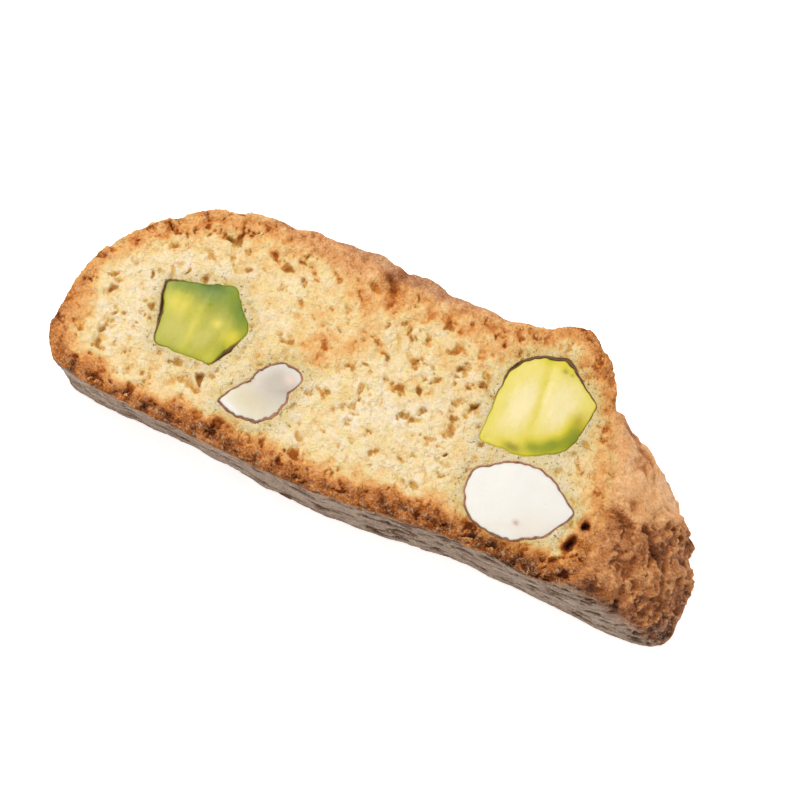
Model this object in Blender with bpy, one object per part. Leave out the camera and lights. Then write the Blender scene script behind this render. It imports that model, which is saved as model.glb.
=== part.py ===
"""One slice of almond and pistachio biscotti, lying on its back cut face.

The slice is cut on the bias from a flat-bottomed loaf. +Z is the normal of the cut face that shows,
+X runs along the slice towards the thin toe of the loaf, and +Y runs from the flat sole to the
crown. The origin is under the middle of the slice, on the surface that it lies on. Four nuts were
cut through with the dough: each is a solid of its own, in a socket of the dough.
"""

import math

import bmesh
import bpy
from mathutils import Vector

MM = 0.001

# Driving dimensions of the slice, in millimetres.
THICKNESS = 12.5
BIAS_SHIFT = 2.0  # how far the bias of the cut moves the back outline towards the toe
TOE_REACH = 12.6  # how much further the loaf's toe reaches below the shown cut face
TOE_START = 46.0  # where along the slice the toe begins to slope out
TOE_LENGTH = 15.0
TOE_CROWN = 23.8  # the height above the sole at which the toe ends, under the knuckle
TOE_BULGE = 0.5  # how round the toe's slope is: 0 is straight, 1 a quarter of an ellipse
TOE_FULLNESS = 2.6  # how fully the toe keeps its reach up to its crown
TOE_ABRUPTNESS = 0.18  # how suddenly the toe ends there: the smaller, the more suddenly
SOLE_LEAN = 0.5  # how far the sole leans in towards the back
SOLE_HOLLOW = 1.1  # how much further it leans in where it is hollow
HOLLOW_MIDDLE = 12.0
HOLLOW_SPREAD = 11.0
KNUCKLE_SINK = 0.12  # how much lower the knuckle is at the back, as a share of its height
KNUCKLE_START = 42.0
KNUCKLE_LENGTH = 15.0
WALL_BARREL = 0.4  # how far the crust swells between the two cuts, away from the flat sole
RIM_ROUND = 0.4  # the small round of the crust where the knife broke it
SHOULDER = 2.0  # the crust's wider rounded shoulder along the crown
SHOULDER_MIDDLE = 31.0
SHOULDER_SPREAD = 10.0
CRACK_AT = 29.9  # the bake crack in the crown
CRACK_DEPTH = 0.4
CRACK_WIDTH = 0.8
CROWN_HEIGHT = 20.0  # above this height the crust is crown, and not side
CROWN_RAMP = 5.0  # how much higher it is crown alone
SIDE_RAMP = 5.0  # how far above the sole the crust's swell and waves are at their full strength

# The crust's unevenness: waves round the outline, each as (how strong it is, its turn in radians
# for each millimetre along the slice and for each one above the sole, where it starts).
CRUST_WAVES = (
    (0.14, 0.9, 0.35, 0.0),
    (0.1, 1.63, -0.8, 1.3),
)
SOLE_CALM = 0.35  # how strong the waves are along the sole, as a share

# The shown cut face's outline, anticlockwise from the heel, as (along the slice, above the sole).
FACE_OUTLINE = (
    (0.6, -0.1),  # heel
    (14.0, -0.9),  # sole
    (31.0, -0.8),
    (48.0, 0.9),
    (61.2, 0.9),  # foot, where the toe leaves the face
    (64.0, 7.0),  # right flank
    (62.7, 15.5),
    (60.0, 22.0),
    (57.9, 27.6),  # knuckle
    (52.3, 31.2),
    (46.3, 28.7),  # saddle behind the knuckle
    (37.6, 28.1),  # crown
    (28.6, 28.8),
    (18.0, 28.1),
    (8.2, 26.5),  # brow
    (0.8, 21.9),
    (-4.4, 14.6),  # round left end
    (-5.9, 7.1),  # nose
    (-4.4, 1.5),
)
OUTLINE_STEPS = 124
SPLINE_STEPS = 24  # how many points the spline has between two anchors, before it is evened out

# Each ring of the crust: how deep it lies below the shown face, as a share of the thickness, and
# how far the rim's round pulls it in, as a share of the round's width.
CRUST_LEVELS = (
    (0.0, 1.0),
    (0.02, 0.35),
    (0.07, 0.0),
    (0.22, 0.0),
    (0.4, 0.0),
    (0.6, 0.0),
    (0.8, 0.0),
    (0.965, 0.0),
    (1.0, 1.0),
)

# The nuts: where the middle of each cut lies on the shown face, its sides, how round the corners
# between them are, how deep the nut goes and how far it leans per millimetre of depth. A side is
# (the direction it faces in degrees, how far it is from the middle), and a dent is (its direction,
# how deep it is as a share of the reach there, its half width in degrees).
NUT_STEPS = 48
NUT_PROUD = 0.12  # how far a nut stands out of the shown cut face
NUT_TIP = 0.12  # how wide a nut is where it ends inside the dough, as a share of its cut
NUT_LEVELS = 9
NUT_WAIST = 0.12  # how far down, as a share of its depth, a nut is at its widest
NUT_SWELL = 0.035  # how much wider it is there than at the cut
SOCKET_GAP = 0.3
SOCKET_OVERSHOOT = 1.0  # how far a socket's cutter goes past a cut face that it opens
BACK_RECESS = 0.12
NUTS = {
    "almond_large": dict(
        middle=(53.8, 8.0),
        sides=(
            (180.0, 6.7),
            (-143.0, 6.15),
            (-97.0, 4.8),
            (-60.0, 4.5),
            (-27.0, 5.35),
            (57.0, 5.3),
            (92.0, 5.05),
            (125.0, 5.35),
        ),
        dents=(),
        sharpness=18.0,
        depth=19.0,
        lean=(0.22, 0.06),
        colour=(0.85, 0.8, 0.7, 1.0),
    ),
    "almond_small": dict(
        middle=(20.8, 7.7),
        sides=(
            (-88.0, 4.15),
            (-50.0, 3.6),
            (-14.0, 3.2),
            (50.0, 5.15),
            (92.0, 4.35),
            (128.0, 3.05),
            (151.0, 2.4),
            (-111.0, 4.8),
        ),
        dents=((22.0, 0.15, 14.0), (163.0, 0.14, 16.0)),
        sharpness=18.0,
        depth=7.0,
        lean=(-0.15, 0.1),
        colour=(0.76, 0.66, 0.47, 1.0),
    ),
    "pistachio_left": dict(
        middle=(10.9, 13.0),
        sides=((-87.0, 5.2), (-26.0, 4.75), (41.0, 4.6), (110.0, 4.3), (-166.0, 5.6)),
        dents=((-170.0, 0.05, 16.0), (108.0, 0.03, 10.0)),
        sharpness=20.0,
        depth=17.0,
        lean=(0.2, -0.05),
        colour=(0.49, 0.52, 0.1, 1.0),
    ),
    "pistachio_right": dict(
        middle=(51.4, 19.8),
        sides=(
            (-178.0, 5.4),
            (-88.0, 6.5),
            (-56.0, 5.85),
            (-8.0, 5.8),
            (54.0, 6.0),
            (108.0, 6.35),
            (150.0, 5.85),
        ),
        dents=(),
        sharpness=18.0,
        depth=9.5,
        lean=(0.1, -0.12),
        colour=(0.72, 0.66, 0.14, 1.0),
    ),
}

DOUGH_COLOUR = (0.72, 0.45, 0.2, 1.0)
DOUGH_ROUGHNESS = 0.85
NUT_ROUGHNESS = 0.5
SHARP_ANGLE = 40.0  # edges that bend more than this, in degrees, look sharp


def smooth_step(share):
    """0 below 0, 1 above 1, and a smooth rise between them."""
    share = min(1.0, max(0.0, share))
    return share * share * (3.0 - 2.0 * share)


def bell(distance):
    """A bell curve: 1 in the middle, 0.37 at a distance of 1."""
    return math.exp(-distance * distance)


def closed_spline(anchors, steps):
    """Points evenly spaced along the closed Catmull-Rom curve through the anchors."""
    fine = []
    count = len(anchors)
    for i in range(count):
        p0, p1, p2, p3 = (Vector(anchors[(i + k) % count]) for k in (-1, 0, 1, 2))
        for j in range(SPLINE_STEPS):
            t = j / SPLINE_STEPS
            fine.append(
                0.5
                * (
                    2.0 * p1
                    + (p2 - p0) * t
                    + (2.0 * p0 - 5.0 * p1 + 4.0 * p2 - p3) * t**2
                    + (3.0 * p1 - p0 - 3.0 * p2 + p3) * t**3
                )
            )
    lengths = [(fine[(i + 1) % len(fine)] - p).length for i, p in enumerate(fine)]
    spacing = sum(lengths) / steps
    points = []
    walked = 0.0
    for p, q, length in zip(fine, fine[1:] + fine[:1], lengths):
        while len(points) < steps and len(points) * spacing < walked + length:
            points.append(p.lerp(q, (len(points) * spacing - walked) / length))
        walked += length
    return points


def outward_normals(points):
    """The outward normal at each point of an anticlockwise closed outline."""
    count = len(points)
    normals = []
    for i in range(count):
        along = points[(i + 1) % count] - points[i - 1]
        normals.append(Vector((along.y, -along.x)).normalized())
    return normals


def uneven_face_outline():
    """The shown face's outline with the crust's slight waves and the crack in the crown."""
    points = closed_spline(FACE_OUTLINE, OUTLINE_STEPS)
    uneven = []
    for p, normal in zip(points, outward_normals(points)):
        wave = sum(a * math.sin(u * p.x + v * p.y + start) for a, u, v, start in CRUST_WAVES)
        crown = smooth_step((p.y - CROWN_HEIGHT) / CROWN_RAMP)
        crack = CRACK_DEPTH * crown * bell((p.x - CRACK_AT) / CRACK_WIDTH)
        calm = SOLE_CALM + (1.0 - SOLE_CALM) * smooth_step(p.y / SIDE_RAMP)
        uneven.append(p + normal * (calm * wave - crack))
    return uneven


def back_point(p):
    """Where a point of the shown face's outline comes out on the back cut face."""
    slope = smooth_step((p.x - TOE_START) / TOE_LENGTH)
    slope *= (1.0 - min(1.0, max(p.y, 0.0) / TOE_CROWN) ** TOE_FULLNESS) ** TOE_ABRUPTNESS
    knuckle = smooth_step((p.x - KNUCKLE_START) / KNUCKLE_LENGTH)
    bias = BIAS_SHIFT * (1.0 - knuckle)
    lean = SOLE_LEAN + SOLE_HOLLOW * bell((p.x - HOLLOW_MIDDLE) / HOLLOW_SPREAD)
    lean *= 1.0 - smooth_step(p.y / TOE_CROWN)
    height = p.y * (1.0 - KNUCKLE_SINK * knuckle) + lean
    return Vector((p.x + bias + TOE_REACH * slope, height))


def rim_width(p):
    """How far the rim's round reaches in from the outline at a point of the shown face."""
    along = bell((p.x - SHOULDER_MIDDLE) / SHOULDER_SPREAD)
    return RIM_ROUND + SHOULDER * along * smooth_step((p.y - CROWN_HEIGHT) / CROWN_RAMP)


def crust_rings(face):
    """The rings of points that the crust is lofted through, from the shown face to the back."""
    back = [back_point(p) for p in face]
    rings = []
    for depth, pull in CRUST_LEVELS:
        round_out = math.sqrt(1.0 - (1.0 - depth) ** 2)
        sweep = depth + TOE_BULGE * (round_out - depth)
        ring = [p.lerp(q, sweep) for p, q in zip(face, back)]
        placed = []
        for p, n, q in zip(ring, outward_normals(ring), face):
            width = rim_width(q) if depth < 0.5 else RIM_ROUND
            barrel = WALL_BARREL * smooth_step(q.y / SIDE_RAMP) * math.sin(math.pi * depth)
            p = p + n * (barrel - pull * width)
            placed.append(Vector((p.x, p.y, THICKNESS * (1.0 - depth))))
        rings.append(placed)
    return rings


def nut_rings(nut, grow=0.0, proud=NUT_PROUD, recess=BACK_RECESS):
    """The rings of points of one nut, from its cut down to its tip or to the back cut face."""
    depth = nut["depth"]
    bottom = min(depth, THICKNESS - recess)
    rings = []
    for level in range(NUT_LEVELS):
        share = level / (NUT_LEVELS - 1)
        down = bottom * math.sin(0.5 * math.pi * share) if depth < THICKNESS else bottom * share
        belly = max(0.0, (down / depth - NUT_WAIST) / (1.0 - NUT_WAIST))
        swell = 1.0 + NUT_SWELL * math.sin(math.pi * min(1.0, down / depth / NUT_WAIST / 2.0))
        width = max(NUT_TIP, swell * math.sqrt(max(0.0, 1.0 - belly**2)))
        height = THICKNESS - down + (proud if level == 0 else 0.0)
        if grow and level == NUT_LEVELS - 1:
            height -= grow
        ring = []
        for step in range(NUT_STEPS):
            angle = 2.0 * math.pi * step / NUT_STEPS
            reach = nut_reach(nut, angle, width, grow)
            x = nut["middle"][0] + nut["lean"][0] * down + reach * math.cos(angle)
            y = nut["middle"][1] + nut["lean"][1] * down + reach * math.sin(angle)
            ring.append(Vector((x, y, height)))
        rings.append(ring)
    return rings


def nut_reach(nut, angle, width, grow):
    """How far a nut reaches from its middle in a direction: a polygon with rounded corners.

    Each side alone would stop the reach at its distance over the cosine of the angle to it. The
    reach is their smooth minimum: one over the root of the sum of powers of one over each.
    """
    power = nut["sharpness"]
    total = 0.0
    for direction, distance in nut["sides"]:
        facing = math.cos(angle - math.radians(direction))
        total += (max(0.0, facing) / (distance * width + grow)) ** power
    reach = total ** (-1.0 / power)
    for direction, deep, half_width in nut["dents"]:
        off = (math.degrees(angle) - direction + 180.0) % 360.0 - 180.0
        reach *= 1.0 - deep * bell(off / half_width)
    return reach


def loft(name, rings, shift):
    """A closed solid through rings of equal length, listed from the top down and capped flat."""
    mesh = bpy.data.meshes.new(name)
    shape = bmesh.new()
    rows = [[shape.verts.new((p + shift) * MM) for p in ring] for ring in rings]
    count = len(rows[0])
    for upper, lower in zip(rows, rows[1:]):
        for i in range(count):
            j = (i + 1) % count
            shape.faces.new((upper[i], lower[i], lower[j], upper[j]))
    shape.faces.new(rows[0])
    shape.faces.new(list(reversed(rows[-1])))
    bmesh.ops.recalc_face_normals(shape, faces=shape.faces)
    shape.to_mesh(mesh)
    shape.free()
    return bpy.data.objects.new(name, mesh)


def baked_material(name, colour, roughness):
    """A plain finish for one kind of piece."""
    material = bpy.data.materials.new(name)
    material.use_nodes = True
    shader = material.node_tree.nodes["Principled BSDF"]
    shader.inputs["Base Color"].default_value = colour
    shader.inputs["Roughness"].default_value = roughness
    shader.inputs["Metallic"].default_value = 0.0
    return material


def centring_shift(rings):
    """The move that puts the origin under the middle of the slice."""
    points = [p for ring in rings for p in ring]
    middle_x = (min(p.x for p in points) + max(p.x for p in points)) / 2.0
    middle_y = (min(p.y for p in points) + max(p.y for p in points)) / 2.0
    return Vector((-middle_x, -middle_y, 0.0))


def cut_socket(dough, cutter):
    """Cuts the room for one nut out of the dough."""
    cutter.hide_render = True
    cutter.display_type = "WIRE"
    cut = dough.modifiers.new("socket of " + cutter.name, "BOOLEAN")
    cut.operation = "DIFFERENCE"
    cut.solver = "EXACT"
    cut.object = cutter


def main():
    for leftover in list(bpy.data.objects):
        bpy.data.objects.remove(leftover)
    parts = bpy.data.collections.new("biscotti")
    cutters = bpy.data.collections.new("sockets")
    for collection in (parts, cutters):
        bpy.context.scene.collection.children.link(collection)

    rings = crust_rings(uneven_face_outline())
    shift = centring_shift(rings)
    dough = loft("dough", rings, shift)
    dough.data.materials.append(baked_material("dough", DOUGH_COLOUR, DOUGH_ROUGHNESS))
    parts.objects.link(dough)

    for name, nut in NUTS.items():
        piece = loft(name, nut_rings(nut), shift)
        piece.data.materials.append(baked_material(name, nut["colour"], NUT_ROUGHNESS))
        parts.objects.link(piece)
        # A socket is taller than its nut, so that it opens the cut faces cleanly.
        opens_back = nut["depth"] > THICKNESS
        recess = -SOCKET_OVERSHOOT if opens_back else 0.0
        room = nut_rings(nut, SOCKET_GAP, SOCKET_OVERSHOOT, recess)
        socket = loft(name + "_socket", room, shift)
        cutters.objects.link(socket)
        cut_socket(dough, socket)

    for piece in parts.objects:
        piece.data.shade_smooth()
        piece.data.set_sharp_from_angle(angle=math.radians(SHARP_ANGLE))


main()
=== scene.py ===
"""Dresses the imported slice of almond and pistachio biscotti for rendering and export.

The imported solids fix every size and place. This script replaces them with detailed pieces: the two
cut faces of the crumb, the browned crust around them, and the cut nuts with their thin skins. All
shapes are worked out in millimetres in the slice's own frame, whose origin is the heel of the shown
cut face: x runs along the slice to the loaf's thin toe, y from the flat sole to the crown, and z up
from the surface that the slice lies on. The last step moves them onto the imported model.
"""

import logging
import math
from dataclasses import dataclass, field
from enum import Enum
from typing import Any

import bpy
import numpy as np
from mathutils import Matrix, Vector


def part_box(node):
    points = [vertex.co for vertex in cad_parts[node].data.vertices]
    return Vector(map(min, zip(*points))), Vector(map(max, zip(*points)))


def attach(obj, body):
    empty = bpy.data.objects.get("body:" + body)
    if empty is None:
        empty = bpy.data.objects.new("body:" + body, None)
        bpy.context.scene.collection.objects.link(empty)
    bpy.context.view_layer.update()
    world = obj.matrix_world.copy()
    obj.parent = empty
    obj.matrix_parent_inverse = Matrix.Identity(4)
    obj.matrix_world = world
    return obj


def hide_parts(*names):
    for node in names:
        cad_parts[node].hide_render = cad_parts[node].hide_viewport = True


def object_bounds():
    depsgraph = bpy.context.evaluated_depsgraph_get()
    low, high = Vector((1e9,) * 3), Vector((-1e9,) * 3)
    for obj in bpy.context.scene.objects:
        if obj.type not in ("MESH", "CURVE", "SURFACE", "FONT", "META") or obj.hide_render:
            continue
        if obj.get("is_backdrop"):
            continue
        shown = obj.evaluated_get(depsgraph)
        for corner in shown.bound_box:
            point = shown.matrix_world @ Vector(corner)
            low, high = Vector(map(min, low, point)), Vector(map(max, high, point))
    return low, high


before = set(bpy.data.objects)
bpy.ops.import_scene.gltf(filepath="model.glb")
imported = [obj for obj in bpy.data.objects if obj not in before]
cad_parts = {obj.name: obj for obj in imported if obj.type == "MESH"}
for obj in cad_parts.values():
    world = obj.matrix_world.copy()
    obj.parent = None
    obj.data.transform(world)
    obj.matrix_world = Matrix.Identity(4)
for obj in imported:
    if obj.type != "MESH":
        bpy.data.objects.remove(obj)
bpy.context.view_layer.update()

LOG = logging.getLogger("biscotti")
MM = 0.001
THICKNESS = 12.5
Colour = tuple[float, float, float, float]


class Side(Enum):
    """The two cut faces of the slice."""

    SHOWN = 1
    UNDER = -1


class Kernel(Enum):
    """The kinds of nut in the dough."""

    ALMOND = "almond"
    GREEN_PISTACHIO = "pistachio_green"
    YELLOW_PISTACHIO = "pistachio_yellow"


# ---------------------------------------------------------------------------------------------
# Numbers on whole arrays
# ---------------------------------------------------------------------------------------------


def ramp01(share: np.ndarray) -> np.ndarray:
    """0 below 0, 1 above 1, and a smooth rise 3s^2 - 2s^3 between them."""
    share = np.clip(share, 0.0, 1.0)
    return share * share * (3.0 - 2.0 * share)


def bell(distance: np.ndarray) -> np.ndarray:
    """A bell curve exp(-d^2): 1 in the middle, 0.37 at a distance of 1."""
    return np.exp(-np.square(distance))


def stack(*columns: Any) -> np.ndarray:
    """Arrays or numbers side by side as the columns of one array of points."""
    return np.stack(np.broadcast_arrays(*columns), axis=-1).astype(float)


@dataclass(frozen=True)
class Lattice:
    """Repeatable noise on arrays of points, drawn from a hash of the lattice cell of each point.

    Attributes:
        seed: a whole number that tells one lattice from another.
    """

    seed: int

    def chance(self, cells: np.ndarray, salt: int = 0) -> np.ndarray:
        """A number from 0 to 1 for each lattice cell: its three indices mixed by multiply and shift.

        Args:
            cells: whole-number indices, the last axis being x, y, z.
            salt: tells several numbers of one cell apart.

        Returns:
            One number for each cell.
        """
        start = (self.seed * 0x9E3779B1 + salt * 0x85EBCA6B) & 0xFFFFFFFF
        mixed = np.full(cells.shape[:-1], start, dtype=np.uint32)
        for axis, prime in enumerate((0x8DA6B343, 0xD8163841, 0xCB1AB31F)):
            mixed ^= cells[..., axis].astype(np.int64).astype(np.uint32) * np.uint32(prime)
            mixed ^= mixed >> np.uint32(15)
            mixed *= np.uint32(0x2C1B3C6D)
            mixed ^= mixed >> np.uint32(12)
        return mixed / 4294967296.0

    def smooth(self, points: np.ndarray, size: float, salt: int = 0) -> np.ndarray:
        """Gradient noise: each corner's random slope times the offset from it, blended smoothly.

        Args:
            points: the points, the last axis being x, y, z.
            size: the side of a lattice cell.
            salt: tells one pattern from another.

        Returns:
            Values of about -1 to 1.
        """
        scaled = points / size
        base = np.floor(scaled)
        offset = scaled - base
        blend = ramp01(offset)
        total = np.zeros(points.shape[:-1])
        for corner in np.ndindex(2, 2, 2):
            cell = base + corner
            slopes = stack(*(2.0 * self.chance(cell, 7 * salt + k) - 1.0 for k in (1, 2, 3)))
            pull = np.sum(slopes * (offset - corner), axis=-1)
            weight = np.prod(np.where(corner, blend, 1.0 - blend), axis=-1)
            total += weight * pull
        return 1.6 * total

    def layered(
        self, points: np.ndarray, size: float, layers: int = 3, gain: float = 0.5, salt: int = 0
    ) -> np.ndarray:
        """Noise in layers, each of half the size of the last and gain times as strong.

        Args:
            points: the points.
            size: the lattice size of the first layer.
            layers: how many layers.
            gain: how strong each layer is beside the one before.
            salt: tells one pattern from another.

        Returns:
            Values of about -1 to 1.
        """
        total = np.zeros(points.shape[:-1])
        for layer in range(layers):
            total += gain**layer * self.smooth(points, size / 2**layer, salt + 11 * layer)
        return total

    def warped(self, points: np.ndarray, size: float, reach: float) -> np.ndarray:
        """The points moved about by three noises of the given size, by up to reach."""
        shift = stack(*(self.smooth(points, size, 50 + k) for k in range(3)))
        return points + reach * shift

    def grains(self, points: np.ndarray, size: float, salt: int = 0) -> np.ndarray:
        """Rounded grains: 1 at the middle of the nearest jittered lattice point, 0 between grains.

        Args:
            points: the points.
            size: the spacing of the grains.
            salt: tells one pattern from another.

        Returns:
            1 - (d1 / d2)^2, where d1 and d2 are the distances to the nearest two grains.
        """
        scaled = points / size
        base = np.floor(scaled)
        nearest = np.full(points.shape[:-1], 9.0)
        second = nearest.copy()
        for step in np.ndindex(3, 3, 3):
            cell = base + (np.array(step) - 1)
            jitter = stack(*(self.chance(cell, 100 + 7 * salt + k) for k in range(3)))
            distance = np.linalg.norm(cell + jitter - scaled, axis=-1)
            second = np.minimum(second, np.maximum(nearest, distance))
            nearest = np.minimum(nearest, distance)
        return 1.0 - np.square(nearest / second)

    def pores(
        self,
        points: np.ndarray,
        size: float,
        share: Any,
        radius: tuple[float, float],
        salt: int = 0,
    ) -> np.ndarray:
        """Round pores: each lattice cell may hold one, at a random place and of a random radius.

        Args:
            points: the points.
            size: the side of a lattice cell.
            share: the chance that a cell holds a pore, a number or one for each point.
            radius: the least and greatest radius, as shares of the size.
            salt: tells one pattern from another.

        Returns:
            0 outside the pores, rising to 1 at the middle of one as 1 - (d / r)^2.
        """
        scaled = points / size
        base = np.floor(scaled)
        deepest = np.zeros(points.shape[:-1])
        for step in np.ndindex(3, 3, 3):
            cell = base + (np.array(step) - 1)
            first = 200 + 7 * salt
            middle = cell + stack(*(self.chance(cell, first + k) for k in range(3)))
            width = radius[0] + (radius[1] - radius[0]) * self.chance(cell, first + 3)
            distance = np.linalg.norm(middle - scaled, axis=-1)
            dip = 1.0 - np.square(distance / width)
            deepest = np.where(self.chance(cell, first + 4) < share, np.maximum(deepest, dip), deepest)
        return deepest


# ---------------------------------------------------------------------------------------------
# The slice's outline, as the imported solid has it
# ---------------------------------------------------------------------------------------------


@dataclass(frozen=True)
class Station:
    """A named place on the shown face's outline.

    Attributes:
        x, y: its place.
        band: how far the toasting reaches into the crumb there.
        browning: how brown the crumb is at the rim there, from 0 to 1.
    """

    x: float
    y: float
    band: float
    browning: float


@dataclass(frozen=True)
class Outline:
    """The outline of the slice and the way that it changes from the shown face to the back one."""

    stations: tuple[Station, ...] = (
        Station(0.6, -0.1, 3.8, 0.78),  # heel
        Station(14.0, -0.9, 3.9, 0.85),  # sole
        Station(31.0, -0.8, 4.2, 0.8),
        Station(48.0, 0.9, 4.2, 0.86),
        Station(61.2, 0.9, 4.6, 0.88),  # foot
        Station(64.0, 7.0, 3.2, 0.7),  # right flank
        Station(62.7, 15.5, 2.4, 0.36),
        Station(60.0, 22.0, 2.4, 0.42),
        Station(57.9, 27.6, 4.0, 0.72),  # knuckle
        Station(52.3, 31.2, 4.0, 0.68),
        Station(46.3, 28.7, 4.2, 0.46),  # saddle
        Station(37.6, 28.1, 5.0, 0.42),  # crown
        Station(28.6, 28.8, 6.4, 0.5),
        Station(18.0, 28.1, 5.4, 0.52),
        Station(8.2, 26.5, 5.0, 0.52),  # brow
        Station(0.8, 21.9, 4.2, 0.54),
        Station(-4.4, 14.6, 3.6, 0.52),  # round left end
        Station(-5.9, 7.1, 4.2, 0.66),  # nose
        Station(-4.4, 1.5, 4.6, 0.76),
    )
    bias_shift: float = 2.0
    toe_reach: float = 12.6
    toe_start: float = 46.0
    toe_length: float = 15.0
    toe_crown: float = 23.8
    toe_bulge: float = 0.5
    toe_fullness: float = 2.6
    toe_abruptness: float = 0.18
    sole_lean: float = 0.5
    sole_hollow: float = 1.1
    hollow_middle: float = 12.0
    hollow_spread: float = 11.0
    knuckle_sink: float = 0.12
    knuckle_start: float = 42.0
    knuckle_length: float = 15.0
    wall_barrel: float = 0.4
    rim_round: float = 0.4
    shoulder: float = 2.0
    shoulder_middle: float = 31.0
    shoulder_spread: float = 10.0
    waves: tuple[tuple[float, float, float, float], ...] = ((0.14, 0.9, 0.35, 0.0), (0.1, 1.63, -0.8, 1.3))
    sole_calm: float = 0.35
    crack_at: float = 29.9
    crack_depth: float = 0.4
    crack_width: float = 0.8
    crown_height: float = 20.0
    crown_ramp: float = 5.0
    side_ramp: float = 5.0
    rim_depth: float = 0.07
    back_rim_depth: float = 0.035
    spans: int = 40
    corners: tuple[int, int, int, int] = (18, 4, 8, 15)
    columns: int = 460
    rows: int = 170

    ragged: tuple[tuple[float, float, float], ...] = (
        (22.4, 0.9, 1.2),
        (19.6, -0.5, 1.2),
        (17.0, 0.7, 1.2),
        (14.4, -0.3, 1.2),
        (11.4, 0.4, 1.4),
        (5.6, -0.2, 1.4),
    )

    def curve(self) -> tuple[np.ndarray, np.ndarray]:
        """The closed Catmull-Rom curve through the stations.

        Returns:
            Its points, closely spaced, and the share of the whole length at which each one lies.
        """
        anchors = np.array([(s.x, s.y) for s in self.stations])
        before, here, after, beyond = (np.roll(anchors, -k, axis=0) for k in (-1, 0, 1, 2))
        t = (np.arange(self.spans) / self.spans)[None, :, None]
        p0, p1, p2, p3 = (a[:, None, :] for a in (before, here, after, beyond))
        points = 0.5 * (
            2.0 * p1
            + (p2 - p0) * t
            + (2.0 * p0 - 5.0 * p1 + 4.0 * p2 - p3) * t**2
            + (3.0 * p1 - p0 - 3.0 * p2 + p3) * t**3
        )
        points = points.reshape(-1, 2)
        closed = np.vstack([points, points[:1]])
        lengths = np.linalg.norm(np.diff(closed, axis=0), axis=1)
        shares = np.concatenate([[0.0], np.cumsum(lengths)]) / lengths.sum()
        return closed, shares

    def station_shares(self) -> np.ndarray:
        """The share of the outline's length at which each station lies."""
        return self.curve()[1][:: self.spans][: len(self.stations)]

    def loop_shares(self) -> np.ndarray:
        """The shares of the outline at which a cut face's grid has its border points.

        The border has four runs between the corner stations: along the sole, up the right flank,
        back along the crown and down the left end. The points of a run are evenly spaced.

        Returns:
            Shares in anticlockwise order, from the first corner.
        """
        marks = self.station_shares()[list(self.corners)]
        ends = np.roll(marks, -1)
        ends = ends + (ends < marks)
        steps = (self.columns - 1, self.rows - 1, self.columns - 1, self.rows - 1)
        runs = [a + (b - a) * np.arange(n) / n for a, b, n in zip(marks, ends, steps)]
        return np.concatenate(runs) % 1.0

    def at_stations(self, share: np.ndarray, name: str) -> np.ndarray:
        """A station's value, such as its band, carried evenly round the outline.

        Args:
            share: where on the outline, as shares of its length.
            name: the field of Station to read.

        Returns:
            One value for each share.
        """
        values = [getattr(s, name) for s in self.stations]
        return np.interp(share, np.append(self.station_shares(), 1.0), values + values[:1])

    def face(self, share: np.ndarray) -> np.ndarray:
        """The shown face's outline with the crust's slight waves and the crack in the crown.

        The curve's point, moved along its outward normal by a sum of sines of its place, less a
        bell-shaped crack where the crown is.

        Args:
            share: even or uneven shares of the outline's length.

        Returns:
            One point (x, y) for each share.
        """
        points, shares = self.curve()
        near = 1.0 / len(points)
        at = lambda s: stack(*(np.interp(s % 1.0, shares, points[:, k]) for k in (0, 1)))
        p = at(share)
        along = at(share + near) - at(share - near)
        normal = unit(stack(along[..., 1], -along[..., 0]))
        x, y = p[..., 0], p[..., 1]
        wave = sum(a * np.sin(u * x + v * y + start) for a, u, v, start in self.waves)
        crown = ramp01((y - self.crown_height) / self.crown_ramp)
        crack = self.crack_depth * crown * bell((x - self.crack_at) / self.crack_width)
        calm = self.sole_calm + (1.0 - self.sole_calm) * ramp01(y / self.side_ramp)
        return p + normal * (calm * wave - crack)[..., None]

    def back(self, p: np.ndarray) -> np.ndarray:
        """Where points of the shown face's outline come out on the back cut face.

        Args:
            p: points (x, y) of the face's outline.

        Returns:
            x + bias + toe slope, and y sunk at the knuckle and leaning in at the sole. The toe's
            slope is a power of 1 - (y / crown)^fullness, so it ends abruptly under the knuckle.
        """
        x, y = p[..., 0], p[..., 1]
        slope = ramp01((x - self.toe_start) / self.toe_length)
        tall = np.minimum(1.0, np.maximum(y, 0.0) / self.toe_crown)
        slope = slope * (1.0 - tall**self.toe_fullness) ** self.toe_abruptness
        torn = sum(amount * bell((y - height) / half) for height, amount, half in self.ragged)
        knuckle = ramp01((x - self.knuckle_start) / self.knuckle_length)
        bias = self.bias_shift * (1.0 - knuckle)
        lean = self.sole_lean + self.sole_hollow * bell((x - self.hollow_middle) / self.hollow_spread)
        lean = lean * (1.0 - ramp01(y / self.toe_crown))
        shift = bias + (self.toe_reach + torn) * slope
        return stack(x + shift, y * (1.0 - self.knuckle_sink * knuckle) + lean)

    def rim_width(self, p: np.ndarray) -> np.ndarray:
        """How far the rim's round reaches in: a small round, wider along the crown's shoulder."""
        along = bell((p[..., 0] - self.shoulder_middle) / self.shoulder_spread)
        crown = ramp01((p[..., 1] - self.crown_height) / self.crown_ramp)
        return self.rim_round + self.shoulder * along * crown

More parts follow.
